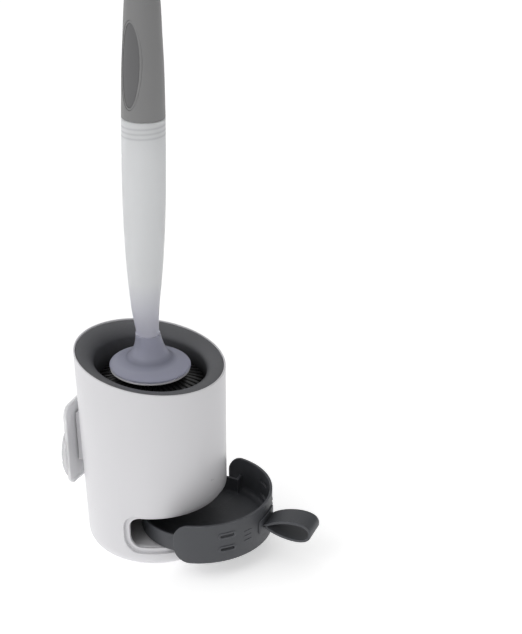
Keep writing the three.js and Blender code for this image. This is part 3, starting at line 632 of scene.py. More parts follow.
def tank_tone_and_thread_shade(tree, body):
    """Bluish near the neck, with painted shade where the cap's thread shows through at the top."""
    settings = bpy.context.scene.brush_handle
    low = DISC_LEVEL + settings.joint_level
    top = DISC_LEVEL + settings.tank_top
    body = mix(tree, spread(tree, height_in(tree), low, low + 45 * MM), colours().neck, body)
    # painted shade of the thread's turns, seen through the tank's wall
    for turn in range(3):
        level = top - THREAD_TOP - turn * THREAD_PITCH
        body = mix(tree, sums(tree, "MULTIPLY", band(tree, level, 2.4 * MM), 0.4), body, (0.42, 0.43, 0.45))
    return body


def skirt_painted_shade_and_highlight(tree, body):
    """Painted shade where the dark inside of the neck's foot shows through, and a painted highlight on the
    bead round it.
    """
    # painted shade round the neck's foot
    foot = band(tree, DISC_LEVEL + 6.5 * MM, 7 * MM)
    body = mix(tree, sums(tree, "MULTIPLY", foot, 0.45), body, (0.16, 0.175, 0.25))
    # painted highlight on the bead
    bead = band(tree, DISC_LEVEL + 3.1 * MM, 1.6 * MM)
    return mix(tree, sums(tree, "MULTIPLY", bead, 0.6), body, (0.66, 0.68, 0.78))


def white_plastic():
    return plastic("white_plastic", colours().white, 0.34, 1100.0, 0.015, 0.015, 0.8, 0.0, 1.25)


def liner_plastic():
    # painted shade deep in the liner cup, darker towards its floor
    return plastic(
        "liner_plastic", colours().liner, 0.5, 800.0, 0.03, 0.1, 0.3, colours().dust,
        painted_light_tint=painted_shade_below(150 * MM, 130 * MM, (0.010, 0.010, 0.012)))


def tray_plastic():
    return plastic("tray_plastic", colours().tray, 0.5, 700.0, 0.04, 0.1, 0.7, colours().dust, 2.6)


def grip_plastic():
    return plastic("grip_plastic", colours().grip, 0.5, 900.0, 0.03, 0.06, 0.3)


def soft_plastic():
    return plastic("soft_plastic", colours().soft, 0.62, 500.0, 0.06, 0.08, 0.35)


def black_rubber():
    return plastic("black_rubber", colours().rubber, 0.3, 500.0, 0.01, 0.1, 0.0)


def valve_rubber():
    return plastic("valve_rubber", (0.09, 0.095, 0.12), 0.55, 600.0, 0.04)


def tank_plastic():
    return plastic(
        "tank_plastic", colours().tank, 0.42, 700.0, 0.03, 0.04, 0.1, painted_light_tint=tank_tone_and_thread_shade,
        Transmission_Weight=0.42, IOR=1.3)


def skirt_plastic():
    return plastic(
        "skirt_plastic", colours().skirt, 0.36, 700.0, 0.03, 0.05, 0.7, 0.0, 1.5, painted_light_tint=skirt_painted_shade_and_highlight,
        Transmission_Weight=0.6, IOR=1.3)


def bracket_plastic():
    return plastic(
        "bracket_plastic", colours().bracket, 0.4, 900.0, 0.02, 0.03, 0.1,
        Transmission_Weight=0.25, IOR=1.2)


def clear_film():
    return plastic(
        "clear_film", (0.97, 0.97, 0.98), 0.18, 500.0, 0.01, 0.02, 0.0,
        Transmission_Weight=0.5, IOR=1.1)


# ---------- holder ----------

def wall_radius(level):
    settings = bpy.context.scene.brush_holder
    return settings.foot_radius + (settings.rim_radius - settings.foot_radius) * level / settings.height


def follow_slant(piece):
    """Shears the top of a holder piece, high at the wall and low at the tray."""
    settings = bpy.context.scene.brush_holder
    rise = math.tan(settings.slant)
    reach = settings.height - settings.slant_start

    def change(place):
        part = min(max((place.z - settings.slant_start) / reach, 0), 1)
        return Vector((0, 0, place.y * rise * part))
    return move_each(piece, change)


def opening_bar(inset, end_gap=0.0):
    """A bar with rounded edges across the holder, as wide and high as the tray opening."""
    settings = bpy.context.scene.brush_holder
    end = settings.opening_end - inset - end_gap
    upright = (settings.opening_low + inset, settings.opening_high - inset)
    bar = block("bar", (-FAR, FAR), (-FAR, end), upright)
    corner = settings.opening_corner - inset
    return round_edges(bar, lambda a, b: min(a.y, b.y) > end - MM and abs(a.x - b.x) > MM, corner, 14)


class BuildShell(bpy.types.Operator):
    """White shell with its slanted rim, the tray opening and the ledge behind it"""
    bl_idname = "brush_set.shell"
    bl_label = "Shell"

    def execute(self, context):
        settings = context.scene.brush_holder
        foot = SHELL_FOOT
        lift = settings.wall
        shoulder = settings.height - 2.8 * MM
        profile = eased([
            (settings.foot_opening, foot, 0.5 * MM),
            (wall_radius(foot), foot, settings.foot_fillet),
            (wall_radius(settings.slant_start), settings.slant_start, 0),
            (wall_radius(settings.height), settings.height, 0.66 * MM),
            (wall_radius(settings.height) - settings.lip, settings.height, 0.62 * MM),
            (wall_radius(shoulder) - settings.lip, shoulder, 0),
            (wall_radius(shoulder) - lift, shoulder, 0.2 * MM),
            (wall_radius(settings.slant_start) - lift, settings.slant_start, 0),
            (wall_radius(foot) - lift, foot + lift, settings.foot_fillet - lift),
            (settings.foot_opening, foot + lift, 0.5 * MM),
        ], closed=True)
        shell = follow_slant(turned("shell", profile, ROUND))
        combine(shell, opening_bar(0), "DIFFERENCE")
        round_cut_edges(shell)
        finish_piece(shell, "holder", ["holder_shell"], white_plastic())

        low = settings.opening_low - settings.ledge_width
        high = settings.opening_high + settings.ledge_width
        depth = settings.wall - 0.05 * MM
        wall = 2 * MM
        ledge = turned("shell_ledge", eased([
            (wall_radius(low) - depth, low, 0),
            (wall_radius(high) - depth, high, 0),
            (wall_radius(high) - depth - wall, high, 0),
            (wall_radius(low) - depth - wall, low, 0),
        ], closed=True), ROUND)
        combine(ledge, opening_bar(-settings.ledge_width), "INTERSECT")
        combine(ledge, opening_bar(settings.ledge_width), "DIFFERENCE")
        round_cut_edges(ledge)
        finish_piece(ledge, "holder", [], white_plastic())
        return {"FINISHED"}


def round_cut_edges(piece):
    """Breaks the edges that the opening's bar leaves in a round wall."""
    return soften(piece, 0.45 * MM, 3, 50)


class BuildRail(bpy.types.Operator):
    """Rail on the back of the shell, with the undercut channel that hangs on the bracket"""
    bl_idname = "brush_set.rail"
    bl_label = "Rail"

    def execute(self, context):
        back = BRACKET_FRONT - CLEARANCE
        front = 54.2 * MM
        rail = block("rail", (-12 * MM, 12 * MM), (front, back), (RAIL_LOW, RAIL_HIGH))
        head_back = BRACKET_FRONT - CHANNEL_LIP
        head_front = head_back - CHANNEL_DEPTH
        for half, reach in ((CHANNEL_NECK, FAR), (CHANNEL_HEAD, head_back)):
            channel = block("channel", (-half, half), (head_front, reach), (0, RAIL_HIGH - RAIL_STOP))
            combine(rail, channel, "DIFFERENCE")
        soften(rail, 0.6 * MM, 3)
        finish_piece(rail, "holder", [], white_plastic())
        return {"FINISHED"}


class BuildBase(bpy.types.Operator):
    """Deck that the tray slides on, its skirt, and the rubber pad under it"""
    bl_idname = "brush_set.base"
    bl_label = "Base"

    def execute(self, context):
        outer = context.scene.brush_holder.foot_opening - CLEARANCE
        wall = 2.4 * MM
        deck = turned("base", eased([
            (0, DECK_TOP - wall, 0),
            (outer - wall, DECK_TOP - wall, 1 * MM),
            (outer - wall, SKIRT_LOW, 0.8 * MM),
            (outer, SKIRT_LOW, 0.8 * MM),
            (outer, DECK_TOP - wall, 1 * MM),
            (DECK_RADIUS, DECK_TOP - wall, 0.7 * MM),
            (DECK_RADIUS, DECK_TOP, 0.7 * MM),
            (DECK_RADIUS - 3 * MM, DECK_TOP, 0.5 * MM),
            (DECK_RADIUS - 3.6 * MM, DECK_TOP - 0.4 * MM, 0.3 * MM),
            (0, DECK_TOP - 0.4 * MM, 0),
        ]), 128)
        finish_piece(deck, "holder", ["base_cover"], white_plastic())
        rings = [(0, 0.5 * MM)]
        for radius in range(8, 40, 8):
            rings += arc((radius * MM, 0.5 * MM), 0.5 * MM, math.pi, 2 * math.pi, 5)
        pad = turned("foot_pad", rings + eased([
            (rings[-1][0], 0.5 * MM, 0),
            (PAD_RADIUS, 0.5 * MM, 0.3 * MM),
            (PAD_RADIUS, PAD_TOP, 0.4 * MM),
            (0, PAD_TOP, 0),
        ])[1:], 96)
        finish_piece(pad, "holder", ["non_slip_pad"], black_rubber())
        return {"FINISHED"}


class BuildLiner(bpy.types.Operator):
    """Dark liner cup with its rolled edge and drain holes"""
    bl_idname = "brush_set.liner"
    bl_label = "Liner"

    def execute(self, context):
        settings = context.scene.brush_holder
        top = settings.height - 0.7 * MM
        inside = settings.liner_radius
        wall = settings.liner_wall
        floor = LINER_UNDERSIDE + wall
        low = top - settings.roll_drop
        steps = 16
        roll = []
        for step in range(steps + 1):
            turn = math.pi / 2 * (1 - step / steps)
            out = LINER_EDGE - (LINER_EDGE - inside) * math.sin(turn)
            roll.append((out, top - settings.roll_drop * (1 - math.cos(turn)), 0))
        under = [(min(out + wall, LINER_EDGE), up - wall, 0) for out, up, _ in roll]
        cup = turned("liner", eased([
            (0, floor, 0),
            (inside, floor, 5 * MM),
            (inside, low - 1 * MM, 0),
            *roll[:-1],
            (LINER_EDGE, top, 0.4 * MM),
            (LINER_EDGE, top - 0.5 * MM, 0),
            *under[::-1],
            (inside + wall, floor - wall, 6 * MM),
            (0, floor - wall, 0),
        ]), ROUND)
        follow_slant(cup)
        deselect()
        bpy.ops.mesh.primitive_cylinder_add(
            vertices=24, radius=2.2 * MM, depth=12 * MM, location=(26 * MM, 0, floor))
        drains = settle(named("drains"))
        edit_all(drains)
        spin_all(8, copies=True)
        weld(outward=False)
        combine(cup, drains, "DIFFERENCE")
        finish_piece(cup, "holder", ["liner_cup"], liner_plastic())
        return {"FINISHED"}


class BuildBracket(bpy.types.Operator):
    """Frosted wall bracket with its tongue, and the clear film that sticks it to a wall"""
    bl_idname = "brush_set.bracket"
    bl_label = "Wall bracket"

    def execute(self, context):
        half = BRACKET_HALF
        plate = block("bracket", (-half, half), (BRACKET_FRONT, BRACKET_BACK), (BRACKET_LOW, BRACKET_HIGH))
        round_edges(plate, lambda a, b: abs(a.y - b.y) > MM, 8 * MM, 12)
        pick_faces(plate, lambda face: face.normal.y < -0.9)
        bpy.ops.mesh.inset(thickness=2.6 * MM)
        bpy.ops.mesh.inset(thickness=0.7 * MM, depth=-0.7 * MM)
        bpy.ops.object.mode_set(mode="OBJECT")
        soften(plate, 0.45 * MM, 3)
        upright = (RAIL_LOW, RAIL_HIGH - RAIL_STOP - CLEARANCE)
        head_half = CHANNEL_HEAD - CLEARANCE
        head_back = BRACKET_FRONT - CHANNEL_LIP - CLEARANCE
        head_front = head_back - CHANNEL_DEPTH + 2 * CLEARANCE
        neck_half = CHANNEL_NECK - CLEARANCE
        tongue = block("tongue_head", (-head_half, head_half), (head_front, head_back), upright)
        neck = block(
            "tongue_neck", (-neck_half, neck_half), (head_back - 1 * MM, BRACKET_FRONT + 1.2 * MM), upright)
        combine(tongue, neck, "UNION")
        soften(tongue, 0.4 * MM, 2)
        combine(plate, tongue, "UNION")
        finish_piece(plate, "bracket", ["wall_bracket"], bracket_plastic())
        thick = FILM_BACK - FILM_FRONT
        film = turned("film", eased([
            (0, 0, 0),
            (FILM_RADIUS, 0, 0.3 * MM),
            (FILM_RADIUS, thick, 0.3 * MM),
            (0, thick, 0),
        ]), 96)
        film.rotation_euler.x = -math.pi / 2
        film.location = (0, FILM_FRONT, FILM_LEVEL)
        settle(film)
        finish_piece(film, "bracket", ["adhesive_pad"], clear_film())
        return {"FINISHED"}


# ---------- tray ----------

class BuildTray(bpy.types.Operator):
    """Drip tray with its cup, curved front and vents"""
    bl_idname = "brush_set.tray"
    bl_label = "Drip tray"

    def execute(self, context):
        settings = context.scene.brush_tray
        floor = DECK_TOP + CLEARANCE
        top = floor + settings.cup_height
        wall = settings.wall
        outer = settings.cup_radius
        tray = turned("tray", eased([
            (0, floor, 0),
            (outer, floor, 1.4 * MM),
            (outer, top, 0.7 * MM),
            (outer - wall, top, 0.7 * MM),
            (outer - wall, floor + wall, 2.2 * MM),
            (0, floor + wall, 0),
        ]), ROUND)
        in_front = block("in_front", (-FAR, FAR), (-FAR, -settings.join), (floor + wall, FAR))
        combine(tray, in_front, "DIFFERENCE")
        flush = 0.1 * MM
        front = conical_wall("front", -flush, -flush - wall)
        combine(front, opening_bar(settings.seam, settings.end_gap), "INTERSECT")
        for level, turn in vent_places(settings):
            combine(front, vent_tool(settings, level, turn), "DIFFERENCE")
        combine(front, strap_slot(settings), "DIFFERENCE")
        soften(front, 0.6 * MM, 4, 45)
        inner = wall_radius(floor) - flush - wall
        fillet = 3 * MM
        corner = (inner - fillet, floor + wall + fillet)
        start = outer - 0.6 * MM
        end = inner + 0.3 * MM
        web = turned("web", [
            (start, floor), (end, floor), (end, corner[1]), *arc(corner, fillet, 0, -math.pi / 2, 6),
            (start, floor + wall), (start, floor)], ROUND)
        combine(web, block("half", (-FAR, FAR), (-FAR, wall - settings.join), (0, FAR)), "INTERSECT")
        combine(front, web, "UNION")
        for side in (-1, 1):
            across = sorted((side * (outer - wall + 0.1 * MM), side * (inner + 0.5 * MM)))
            step = block("step", across, (-settings.join, wall - settings.join), (floor, top))
            combine(front, soften(step, 0.4 * MM, 3), "UNION")
        combine(tray, front, "UNION")
        tray.location.y = -settings.out
        settle(tray)
        finish_piece(tray, "tray", ["drip_tray"], tray_plastic())

        reliefs = []
        for level, turn in vent_places(settings):
            frame_ring = conical_wall("vent_frame", settings.relief, -1 * MM)
            combine(frame_ring, vent_tool(settings, level, turn, 1.5 * MM), "INTERSECT")
            combine(frame_ring, vent_tool(settings, level, turn, 0.1 * MM), "DIFFERENCE")
            reliefs.append(soften(frame_ring, 0.3 * MM, 3, 45))
        for side in (-1, 1):
            for level in RIB_LEVELS:
                rib = conical_wall("rib", settings.relief * 0.8, -1 * MM)
                combine(rib, vent_tool(settings, level, side * RIB_TURN, -0.7 * MM, RIB_LENGTH), "INTERSECT")
                reliefs.append(soften(rib, 0.25 * MM, 2, 45))
        relief = join_all("front_relief", reliefs)
        relief.location.y = -settings.out
        settle(relief)
        finish_piece(relief, "tray", [], tray_plastic())
        return {"FINISHED"}


def conical_wall(name, outer_gap, inner_gap):
    """A round wall that follows the shell's taper, between two gaps from its outside."""
    high = 60 * MM
    corners = [(outer_gap, 0), (outer_gap, high), (inner_gap, high), (inner_gap, 0), (outer_gap, 0)]
    return turned(name, [(wall_radius(level) + gap, level) for gap, level in corners], ROUND)


def strap_slot(settings):
    """The opening that the pull loop's strap passes through."""
    level = settings.loop_level
    half = STRAP_SLOT_HEIGHT / 2
    return block("slot", (-STRAP_SLOT_HALF, STRAP_SLOT_HALF), (-FAR, 0), (level - half, level + half))


def join_all(name, pieces):
    take(pieces[0])
    for piece in pieces[1:]:
        piece.select_set(True)
    bpy.ops.object.join()
    return named(name)


def vent_places(settings):
    return [(level, side * settings.vent_angle) for level in VENT_LEVELS for side in (-1, 1)]


def vent_tool(settings, level, turn, grow=0.0, size=None):
    """A bar with round ends, turned about the holder's axis to cut one vent."""
    half = (size or settings.vent_length) / 2 + grow
    rise = settings.vent_height / 2 + grow
    bar = block("vent", (-half, half), (-70 * MM, -40 * MM), (level - rise, level + rise))
    round_edges(bar, lambda a, b: abs(a.y - b.y) > MM, rise * 0.96, 6)
    bar.rotation_euler.z = turn
    return settle(bar)


class BuildPullLoop(bpy.types.Operator):
    """Strap folded back on itself, and the raised plate that it comes out of"""
    bl_idname = "brush_set.pull_loop"
    bl_label = "Pull loop"

    def execute(self, context):
        settings = context.scene.brush_tray
        level = settings.loop_level
        half = LOOP_HALF_WIDTH
        root = -wall_radius(level) - 1.3 * MM - settings.out
        tip = LOOP_REACH + settings.strap / 2
        rise = 7.3 * MM
        bulge = 1.7 * rise
        near = root - 8 * MM
        upper = bezier((root, level), (near, level + rise), (tip, level + bulge), (tip, level), 22)
        lower = bezier((tip, level), (tip, level - bulge), (near, level - rise), (root, level), 22)
        line = [(-half, along, up) for along, up in upper + lower[1:-1]]
        strap = draw_line("strap", line + [line[0]])
        bpy.ops.mesh.select_all(action="SELECT")
        for _ in range(8):
            bpy.ops.mesh.extrude_region_move(TRANSFORM_OT_translate={"value": (half / 4, 0, 0)})
        weld()
        apply_modifier(strap, "SOLIDIFY", thickness=settings.strap, offset=0, use_even_offset=True)
        soften(strap, 0.6 * MM, 3, 60)
        back = -wall_radius(level) + 4.9 * MM - settings.out
        stem = block("stem", (-half, half), (root - 1.5 * MM, back), (level - 1 * MM, level + 1 * MM))
        foot_half = half - 1 * MM
        foot_rise = 3.5 * MM
        foot = block(
            "foot", (-foot_half, foot_half), (back - 1.2 * MM, back), (level - foot_rise, level + foot_rise))
        soften(combine(stem, foot, "UNION"), 0.5 * MM, 3)
        combine(strap, stem, "UNION")
        finish_piece(strap, "tray", ["pull_loop"], tray_plastic(), 50)

        plate = conical_wall("plate", 1 * MM, 0.2 * MM)
        tool = block(
            "outline", (-PLATE_HALF_WIDTH, PLATE_HALF_WIDTH), (-FAR, 0),
            (level - PLATE_HALF_HEIGHT, level + PLATE_HALF_HEIGHT))
        round_edges(tool, lambda a, b: abs(a.y - b.y) > MM, 4 * MM, 8)
        combine(plate, tool, "INTERSECT")
        combine(plate, strap_slot(settings), "DIFFERENCE")
        soften(plate, 0.35 * MM, 3, 45)
        plate.location.y = -settings.out
        settle(plate)
        finish_piece(plate, "tray", ["loop_plate"], tray_plastic())
        return {"FINISHED"}


def bezier(a, b, c, d, steps):
    line = []
    for step in range(steps + 1):
        t = step / steps
        s = 1 - t
        weights = (s ** 3, 3 * s * s * t, 3 * s * t * t, t ** 3)
        line.append(tuple(sum(w * p[i] for w, p in zip(weights, (a, b, c, d))) for i in (0, 1)))
    return line


# ---------- brush ----------

def swing_neck(piece):
    """Carries the neck from the head's axis back to the handle's."""
    def change(place):
        part = min(max((place.z - NECK_LOW) / NECK_SWING, 0), 1)
        return Vector((0, NECK_OFFSET * part * part * (3 - 2 * part), 0))
    return move_each(piece, change)


def stand_in_holder(piece, offset=0.0):
    """Leans a brush piece and lifts it to its place in the holder."""
    piece.data.transform(Matrix.Translation((0, offset, 0)))
    piece.rotation_euler.x = LEAN
    piece.location.z = DISC_LEVEL
    return settle(piece)


def tank_outline(settings):
    return between(settings.neck_radius, settings.tank_radius, settings.joint_level, settings.tank_top, [
        (0, 0), (-0.1, 0.02), (0.25, 0.15), (0.68, 0.34), (0.96, 0.57), (1.03, 0.82), (1, 1)])


class BuildTank(bpy.types.Operator):
    """Frosted tank that tapers down into the neck"""
    bl_idname = "brush_set.tank"
    bl_label = "Tank"

    def execute(self, context):
        settings = context.scene.brush_handle
        wall = settings.tank_wall
        foot = settings.joint_level - settings.socket_depth + CLEARANCE
        spigot = SOCKET_RADIUS - CLEARANCE
        seat = settings.joint_level + CLEARANCE
        neck, radius, top = settings.neck_radius, settings.tank_radius, settings.tank_top
        break_edge = 0.3 * MM
        outer = [
            (neck - break_edge, seat), (neck, seat + break_edge), *through(tank_outline(settings), 8)[2:-1],
            (radius, top - break_edge), (radius - break_edge, top)]
        inner = [(out - wall, up) for out, up in outer[2:-2]]
        profile = [
            (spigot - wall, foot), (spigot, foot), (spigot, seat), *outer,
            (radius - wall, top), *inner[::-1],
            (spigot - wall, seat), (spigot - wall, foot),
        ]
        tank = stand_in_holder(swing_neck(turned("tank_body", profile, 128)))
        finish_piece(tank, "brush", ["tank"], tank_plastic(), 50)
        return {"FINISHED"}


class BuildSkirt(bpy.types.Operator):
    """Splash disc flaring out of the neck, with the bead round its foot"""
    bl_idname = "brush_set.skirt"
    bl_label = "Splash disc"

    def execute(self, context):
        settings = context.scene.brush_handle
        neck = settings.neck_radius
        top = settings.joint_level
        socket = SOCKET_RADIUS
        socket_floor = top - settings.socket_depth
        flare = through(between(neck, DISC_RADIUS, 0.4 * MM, top, [
            (1, 0), (0.92, 0.03), (0.72, 0.09), (0.49, 0.17), (0.32, 0.26), (0.13, 0.54), (0.04, 0.78),
            (0, 1)]), 7)
        bead_radius = 17 * MM
        bead_width = 1.3 * MM
        bead_height = 0.8 * MM
        raised = [
            (radius, height + bead_height * math.exp(-((radius - bead_radius) / bead_width) ** 2))
            for radius, height in flare]
        rim = arc((DISC_RADIUS - 0.8 * MM, -0.4 * MM), 0.8 * MM, -math.pi / 2, math.pi / 2 * 0.8, 8)
        roof = socket_floor - 2 * MM
        inside = [(radius - 2 * MM, height - 1.6 * MM) for radius, height in flare if height < roof]
        outside = [point for point in raised if point[0] < DISC_RADIUS - 0.9 * MM][:-1]
        profile = [
            *rim, *outside,
            (neck, top - 0.3 * MM), (neck - 0.3 * MM, top),
            (socket, top), (socket, socket_floor), (socket - 2 * MM, socket_floor),
            *inside[::-1], rim[0],
        ]
        skirt = stand_in_holder(swing_neck(turned("splash_disc", profile, 128)))
        finish_piece(skirt, "brush", ["skirt"], skirt_plastic(), 50)
        return {"FINISHED"}


class BuildOutlet(bpy.types.Operator):
    """Outlet valve in the neck, seen dimly through it"""
    bl_idname = "brush_set.outlet"
    bl_label = "Outlet valve"

    def execute(self, context):
        low = VALVE_LOW
        valve = turned("outlet", eased([
            (0, low, 0),
            (VALVE_FLANGE, low, 0.5 * MM),
            (VALVE_FLANGE, low + 2.4 * MM, 0.5 * MM),
            (VALVE_RADIUS, low + 2.4 * MM, 0.4 * MM),
            (VALVE_RADIUS, VALVE_TOP, 1 * MM),
            (0, VALVE_TOP, 0),
        ]), 48)
        stand_in_holder(swing_neck(valve))
        finish_piece(valve, "brush", ["outlet_valve"], valve_rubber())
        return {"FINISHED"}


def grip_outline(settings):
    low = settings.tank_top + CLEARANCE
    narrow = settings.tank_radius * GRIP_NARROWING
    return through(between(narrow, settings.tank_radius, low, settings.grip_top, [
        (1, 0), (0.86, 0.34), (0.68, 0.55), (0.42, 0.83), (0, 1)]), 9)


def button_level(settings):
    return settings.tank_top + BUTTON_RISE


def oval_bar(settings, inset):
    """An oval bar that points out of the grip towards the thumb."""
    deselect()
    bpy.ops.mesh.primitive_cylinder_add(vertices=96, radius=1, depth=60 * MM)
    bar = named("oval")
    bar.scale = (settings.button_length / 2 - inset, settings.button_width / 2 - inset, 1)
    settle(bar)
    direction = Vector((math.cos(settings.button_direction), math.sin(settings.button_direction), 0))
    sideways = Vector((-direction.y, direction.x, 0))
    turn = Matrix((Vector((0, 0, 1)), sideways, direction)).transposed()
    bar.data.transform(turn.to_4x4())
    bar.data.transform(Matrix.Translation(direction * 30 * MM + Vector((0, 0, button_level(settings)))))
    if turn.determinant() < 0:
        bar.data.flip_normals()
    return bar


def layer(name, line, outer_inset, inner_inset):
    """A round wall between two insets from the same outline."""
    outside = [(radius - outer_inset, height) for radius, height in line]
    inside = [(radius - inner_inset, height) for radius, height in line]
    return turned(name, outside + inside[::-1] + outside[:1], 128)


class BuildGrip(bpy.types.Operator):
    """Grip with its oval window, and the end cap on top"""
    bl_idname = "brush_set.grip"
    bl_label = "Grip"

    def execute(self, context):
        settings = context.scene.brush_handle
        line = grip_outline(settings)
        eased_line = [(line[0][0] - 0.35 * MM, line[0][1]), (line[0][0], line[0][1] + 0.35 * MM)] + line[1:]
        grip = layer("grip", eased_line, 0, settings.grip_wall)
        combine(grip, oval_bar(settings, 0), "DIFFERENCE")
        soften(grip, 0.5 * MM, 4, 50)
        stand_in_holder(grip, NECK_OFFSET)
        finish_piece(grip, "grip", ["grip_shell"], grip_plastic())

        end = settings.tank_radius * GRIP_NARROWING
        top = settings.grip_top + CLEARANCE
        plug = end - settings.grip_wall - CLEARANCE
        dome = [(end * math.cos(turn), top + 0.5 * MM + 6.5 * MM * math.sin(turn))
                for turn in [math.pi / 2 * step / 14 for step in range(15)]]
        foot = settings.grip_top - END_CAP_HEIGHT
        cap = turned("end_cap", [
            (0, foot), (plug, foot), (plug, top), (end - 0.4 * MM, top), *dome[:-1],
            (0, top + END_CAP_HEIGHT)])
        stand_in_holder(cap, NECK_OFFSET)
        finish_piece(cap, "grip", ["grip_end_cap"], grip_plastic())
        return {"FINISHED"}


class BuildThumbPad(bpy.types.Operator):
    """Oval thumb pad and the bezel round it"""
    bl_idname = "brush_set.thumb_pad"
    bl_label = "Thumb pad"

    def execute(self, context):
        settings = context.scene.brush_handle
        line = grip_outline(settings)
        bezel = layer("bezel", line, 0.25 * MM, settings.grip_wall)
        combine(bezel, oval_bar(settings, CLEARANCE), "INTERSECT")
        combine(bezel, oval_bar(settings, 1.8 * MM), "DIFFERENCE")
        soften(bezel, 0.4 * MM, 3, 45)
        stand_in_holder(bezel, NECK_OFFSET)
        finish_piece(bezel, "grip", ["button_bezel"], grip_plastic())
        pad = layer("thumb_rest", line, 0.5 * MM, 3 * MM)
        combine(pad, oval_bar(settings, 2.1 * MM), "INTERSECT")
        soften(pad, 0.8 * MM, 4, 45)
        stand_in_holder(pad, NECK_OFFSET)
        finish_piece(pad, "thumb_button", ["thumb_pad"], soft_plastic())
        return {"FINISHED"}


class BuildScrewPlug(bpy.types.Operator):
    """Threaded plug of the cap, seen dimly through the tank's mouth"""
    bl_idname = "brush_set.screw_plug"
    bl_label = "Screw plug"

    def execute(self, context):
        settings = context.scene.brush_handle
        pitch = settings.thread_pitch
        crest = settings.tank_radius - settings.tank_wall - CLEARANCE
        core = crest - 1 * MM
        top = settings.tank_top + 3.3 * MM
        low = settings.tank_top - 0.8 * MM - 5 * pitch
        plug = turned("screw_plug", eased([
            (core, low, 0.4 * MM),
            (core, top, 0.4 * MM),
            (core - 2.2 * MM, top, 0.4 * MM),
            (core - 2.2 * MM, low, 0.4 * MM),
        ], closed=True), 96)
        start = low + pitch
        root = core - 0.4 * MM
        flank = pitch / 4
        thread = draw_line("thread", [
            (root, 0, start - flank), (crest, 0, start), (root, 0, start + flank), (root, 0, start - flank)])
        weld(outward=False)
        apply_modifier(
            thread, "SCREW", angle=2 * math.pi, screw_offset=pitch, iterations=3, steps=64,
            render_steps=64, axis="Z")
        edit_all(thread)
        bpy.ops.mesh.fill_holes(sides=4)
        bpy.ops.mesh.normals_make_consistent(inside=False)
        bpy.ops.object.mode_set(mode="OBJECT")
        join_all("screw_plug", [plug, thread])
        stand_in_holder(plug, NECK_OFFSET)
        finish_piece(plug, "grip", ["threaded_spigot"], tank_plastic())
        return {"FINISHED"}


# ---------- brush head ----------

def finger(name, reach, droop, segments=5):
    """One bristle: a square bar extruded outwards, thinner and lower at each step."""
    root = BRISTLE_ROOT
    thick = BRISTLE_THICK
    deselect()
    bpy.ops.mesh.primitive_cube_add(size=1, location=(root, 0, 0), scale=(0.4 * MM, thick, thick))
    piece = settle(named(name))
    pick_faces(piece, lambda face: face.normal.x > 0.9)
    shrink = (BRISTLE_THIN / thick) ** (1 / segments)
    place = Vector((root + 0.2 * MM, 0, 0))
    for step in range(1, segments + 1):
        part = step / segments
        there = Vector((root + (reach - root) * part, 0, -droop * part * part))
        bpy.ops.mesh.extrude_region_move(TRANSFORM_OT_translate={"value": there - place})
        bpy.ops.transform.resize(value=(1, shrink, shrink), center_override=there)
        place = there
    bpy.ops.object.mode_set(mode="OBJECT")
    return soften(piece, 0.55 * MM, 1, 50)


class BuildHead(bpy.types.Operator):
    """Lower disc, rows of rubber bristles and the tip of the head"""
    bl_idname = "brush_set.head"
    bl_label = "Brush head"

    def execute(self, context):
        settings = context.scene.brush_handle
        low, high = -3.4 * MM, -2 * MM
        edge = DISC_RADIUS - 0.4 * MM
        plug_top = 11.4 * MM
        plate = turned("head_disc", eased([
            (3 * MM, low, 0.2 * MM),
            (edge, low, 0.6 * MM),
            (edge, high, 0.6 * MM),
            (6 * MM, high, 0.5 * MM),
            (5 * MM, plug_top, 0.4 * MM),
            (3 * MM, plug_top, 0.2 * MM),
        ], closed=True), 128)
        stand_in_holder(plate)
        finish_piece(plate, "brush", ["head_plate"], white_plastic())

        tip_low = LINER_UNDERSIDE + 3.2 * MM - DISC_LEVEL
        tip_height = 8.8 * MM
        tip_bore = 3 * MM
        tip_top = tip_low + tip_height
        first = -9 * MM
        last = tip_top + 2.9 * MM
        hub = 4.6 * MM
        bore, ring_radius = 7.3 * MM, 11 * MM
        for row in range(settings.rows):
            part = row / (settings.rows - 1)
            level = first + (last - first) * part
            reach = context.scene.brush_holder.liner_radius - (2.2 * MM + 4.5 * MM * part)
            bristles = finger(f"bristles_{row + 1}", reach, settings.droop)
            edit_all(bristles)
            spin_all(settings.per_row, copies=True)
            weld()
            ring = turned("ring", eased([
                (bore, -hub / 2, 0.3 * MM),
                (ring_radius, -hub / 2, 0.6 * MM),
                (ring_radius, hub / 2, 0.6 * MM),
                (bore, hub / 2, 0.3 * MM),
            ], closed=True), 40)
            join_all(bristles.name, [bristles, ring])
            bristles.location.z = level
            settle(bristles)
            stand_in_holder(bristles)
            finish_piece(bristles, "brush", [f"bristle_row_{row + 1}"], black_rubber())

        dome = [(tip_bore + 8 * MM * math.sin(turn), tip_low + tip_height * (1 - math.cos(turn)))
                for turn in [math.pi / 2 * step / 12 for step in range(13)]]
        tip = turned("tip", [*dome, (tip_bore, tip_top), dome[0]], 64)
        stand_in_holder(tip)
        finish_piece(tip, "brush", ["head_tip"], liner_plastic())
        return {"FINISHED"}


class FinishSolids(bpy.types.Operator):
    """Gives the solids that show as they are their own finish"""
    bl_idname = "brush_set.solids"
    bl_label = "Inner solids"

    def execute(self, context):
        finishes = {
            "brush_core": liner_plastic(),
            "cap_seal": black_rubber(),
            "squeeze_bulb": black_rubber(),
            "air_valve": valve_rubber(),
        }
        for name, material in finishes.items():
            solid = frame["nodes"][name]
            solid.data.materials.clear()
            solid.data.materials.append(material)
        return {"FINISHED"}


# ---------- stage ----------

LIT_POINT = (0, 0, 0.12)
LIGHTS = (
    # name, metres to the right of the camera and above it, size, power
    ("key", -1.1, 0.7, 0.9, 3.6),
    ("fill", 1.3, 0.2, 1.0, 1.0),
)


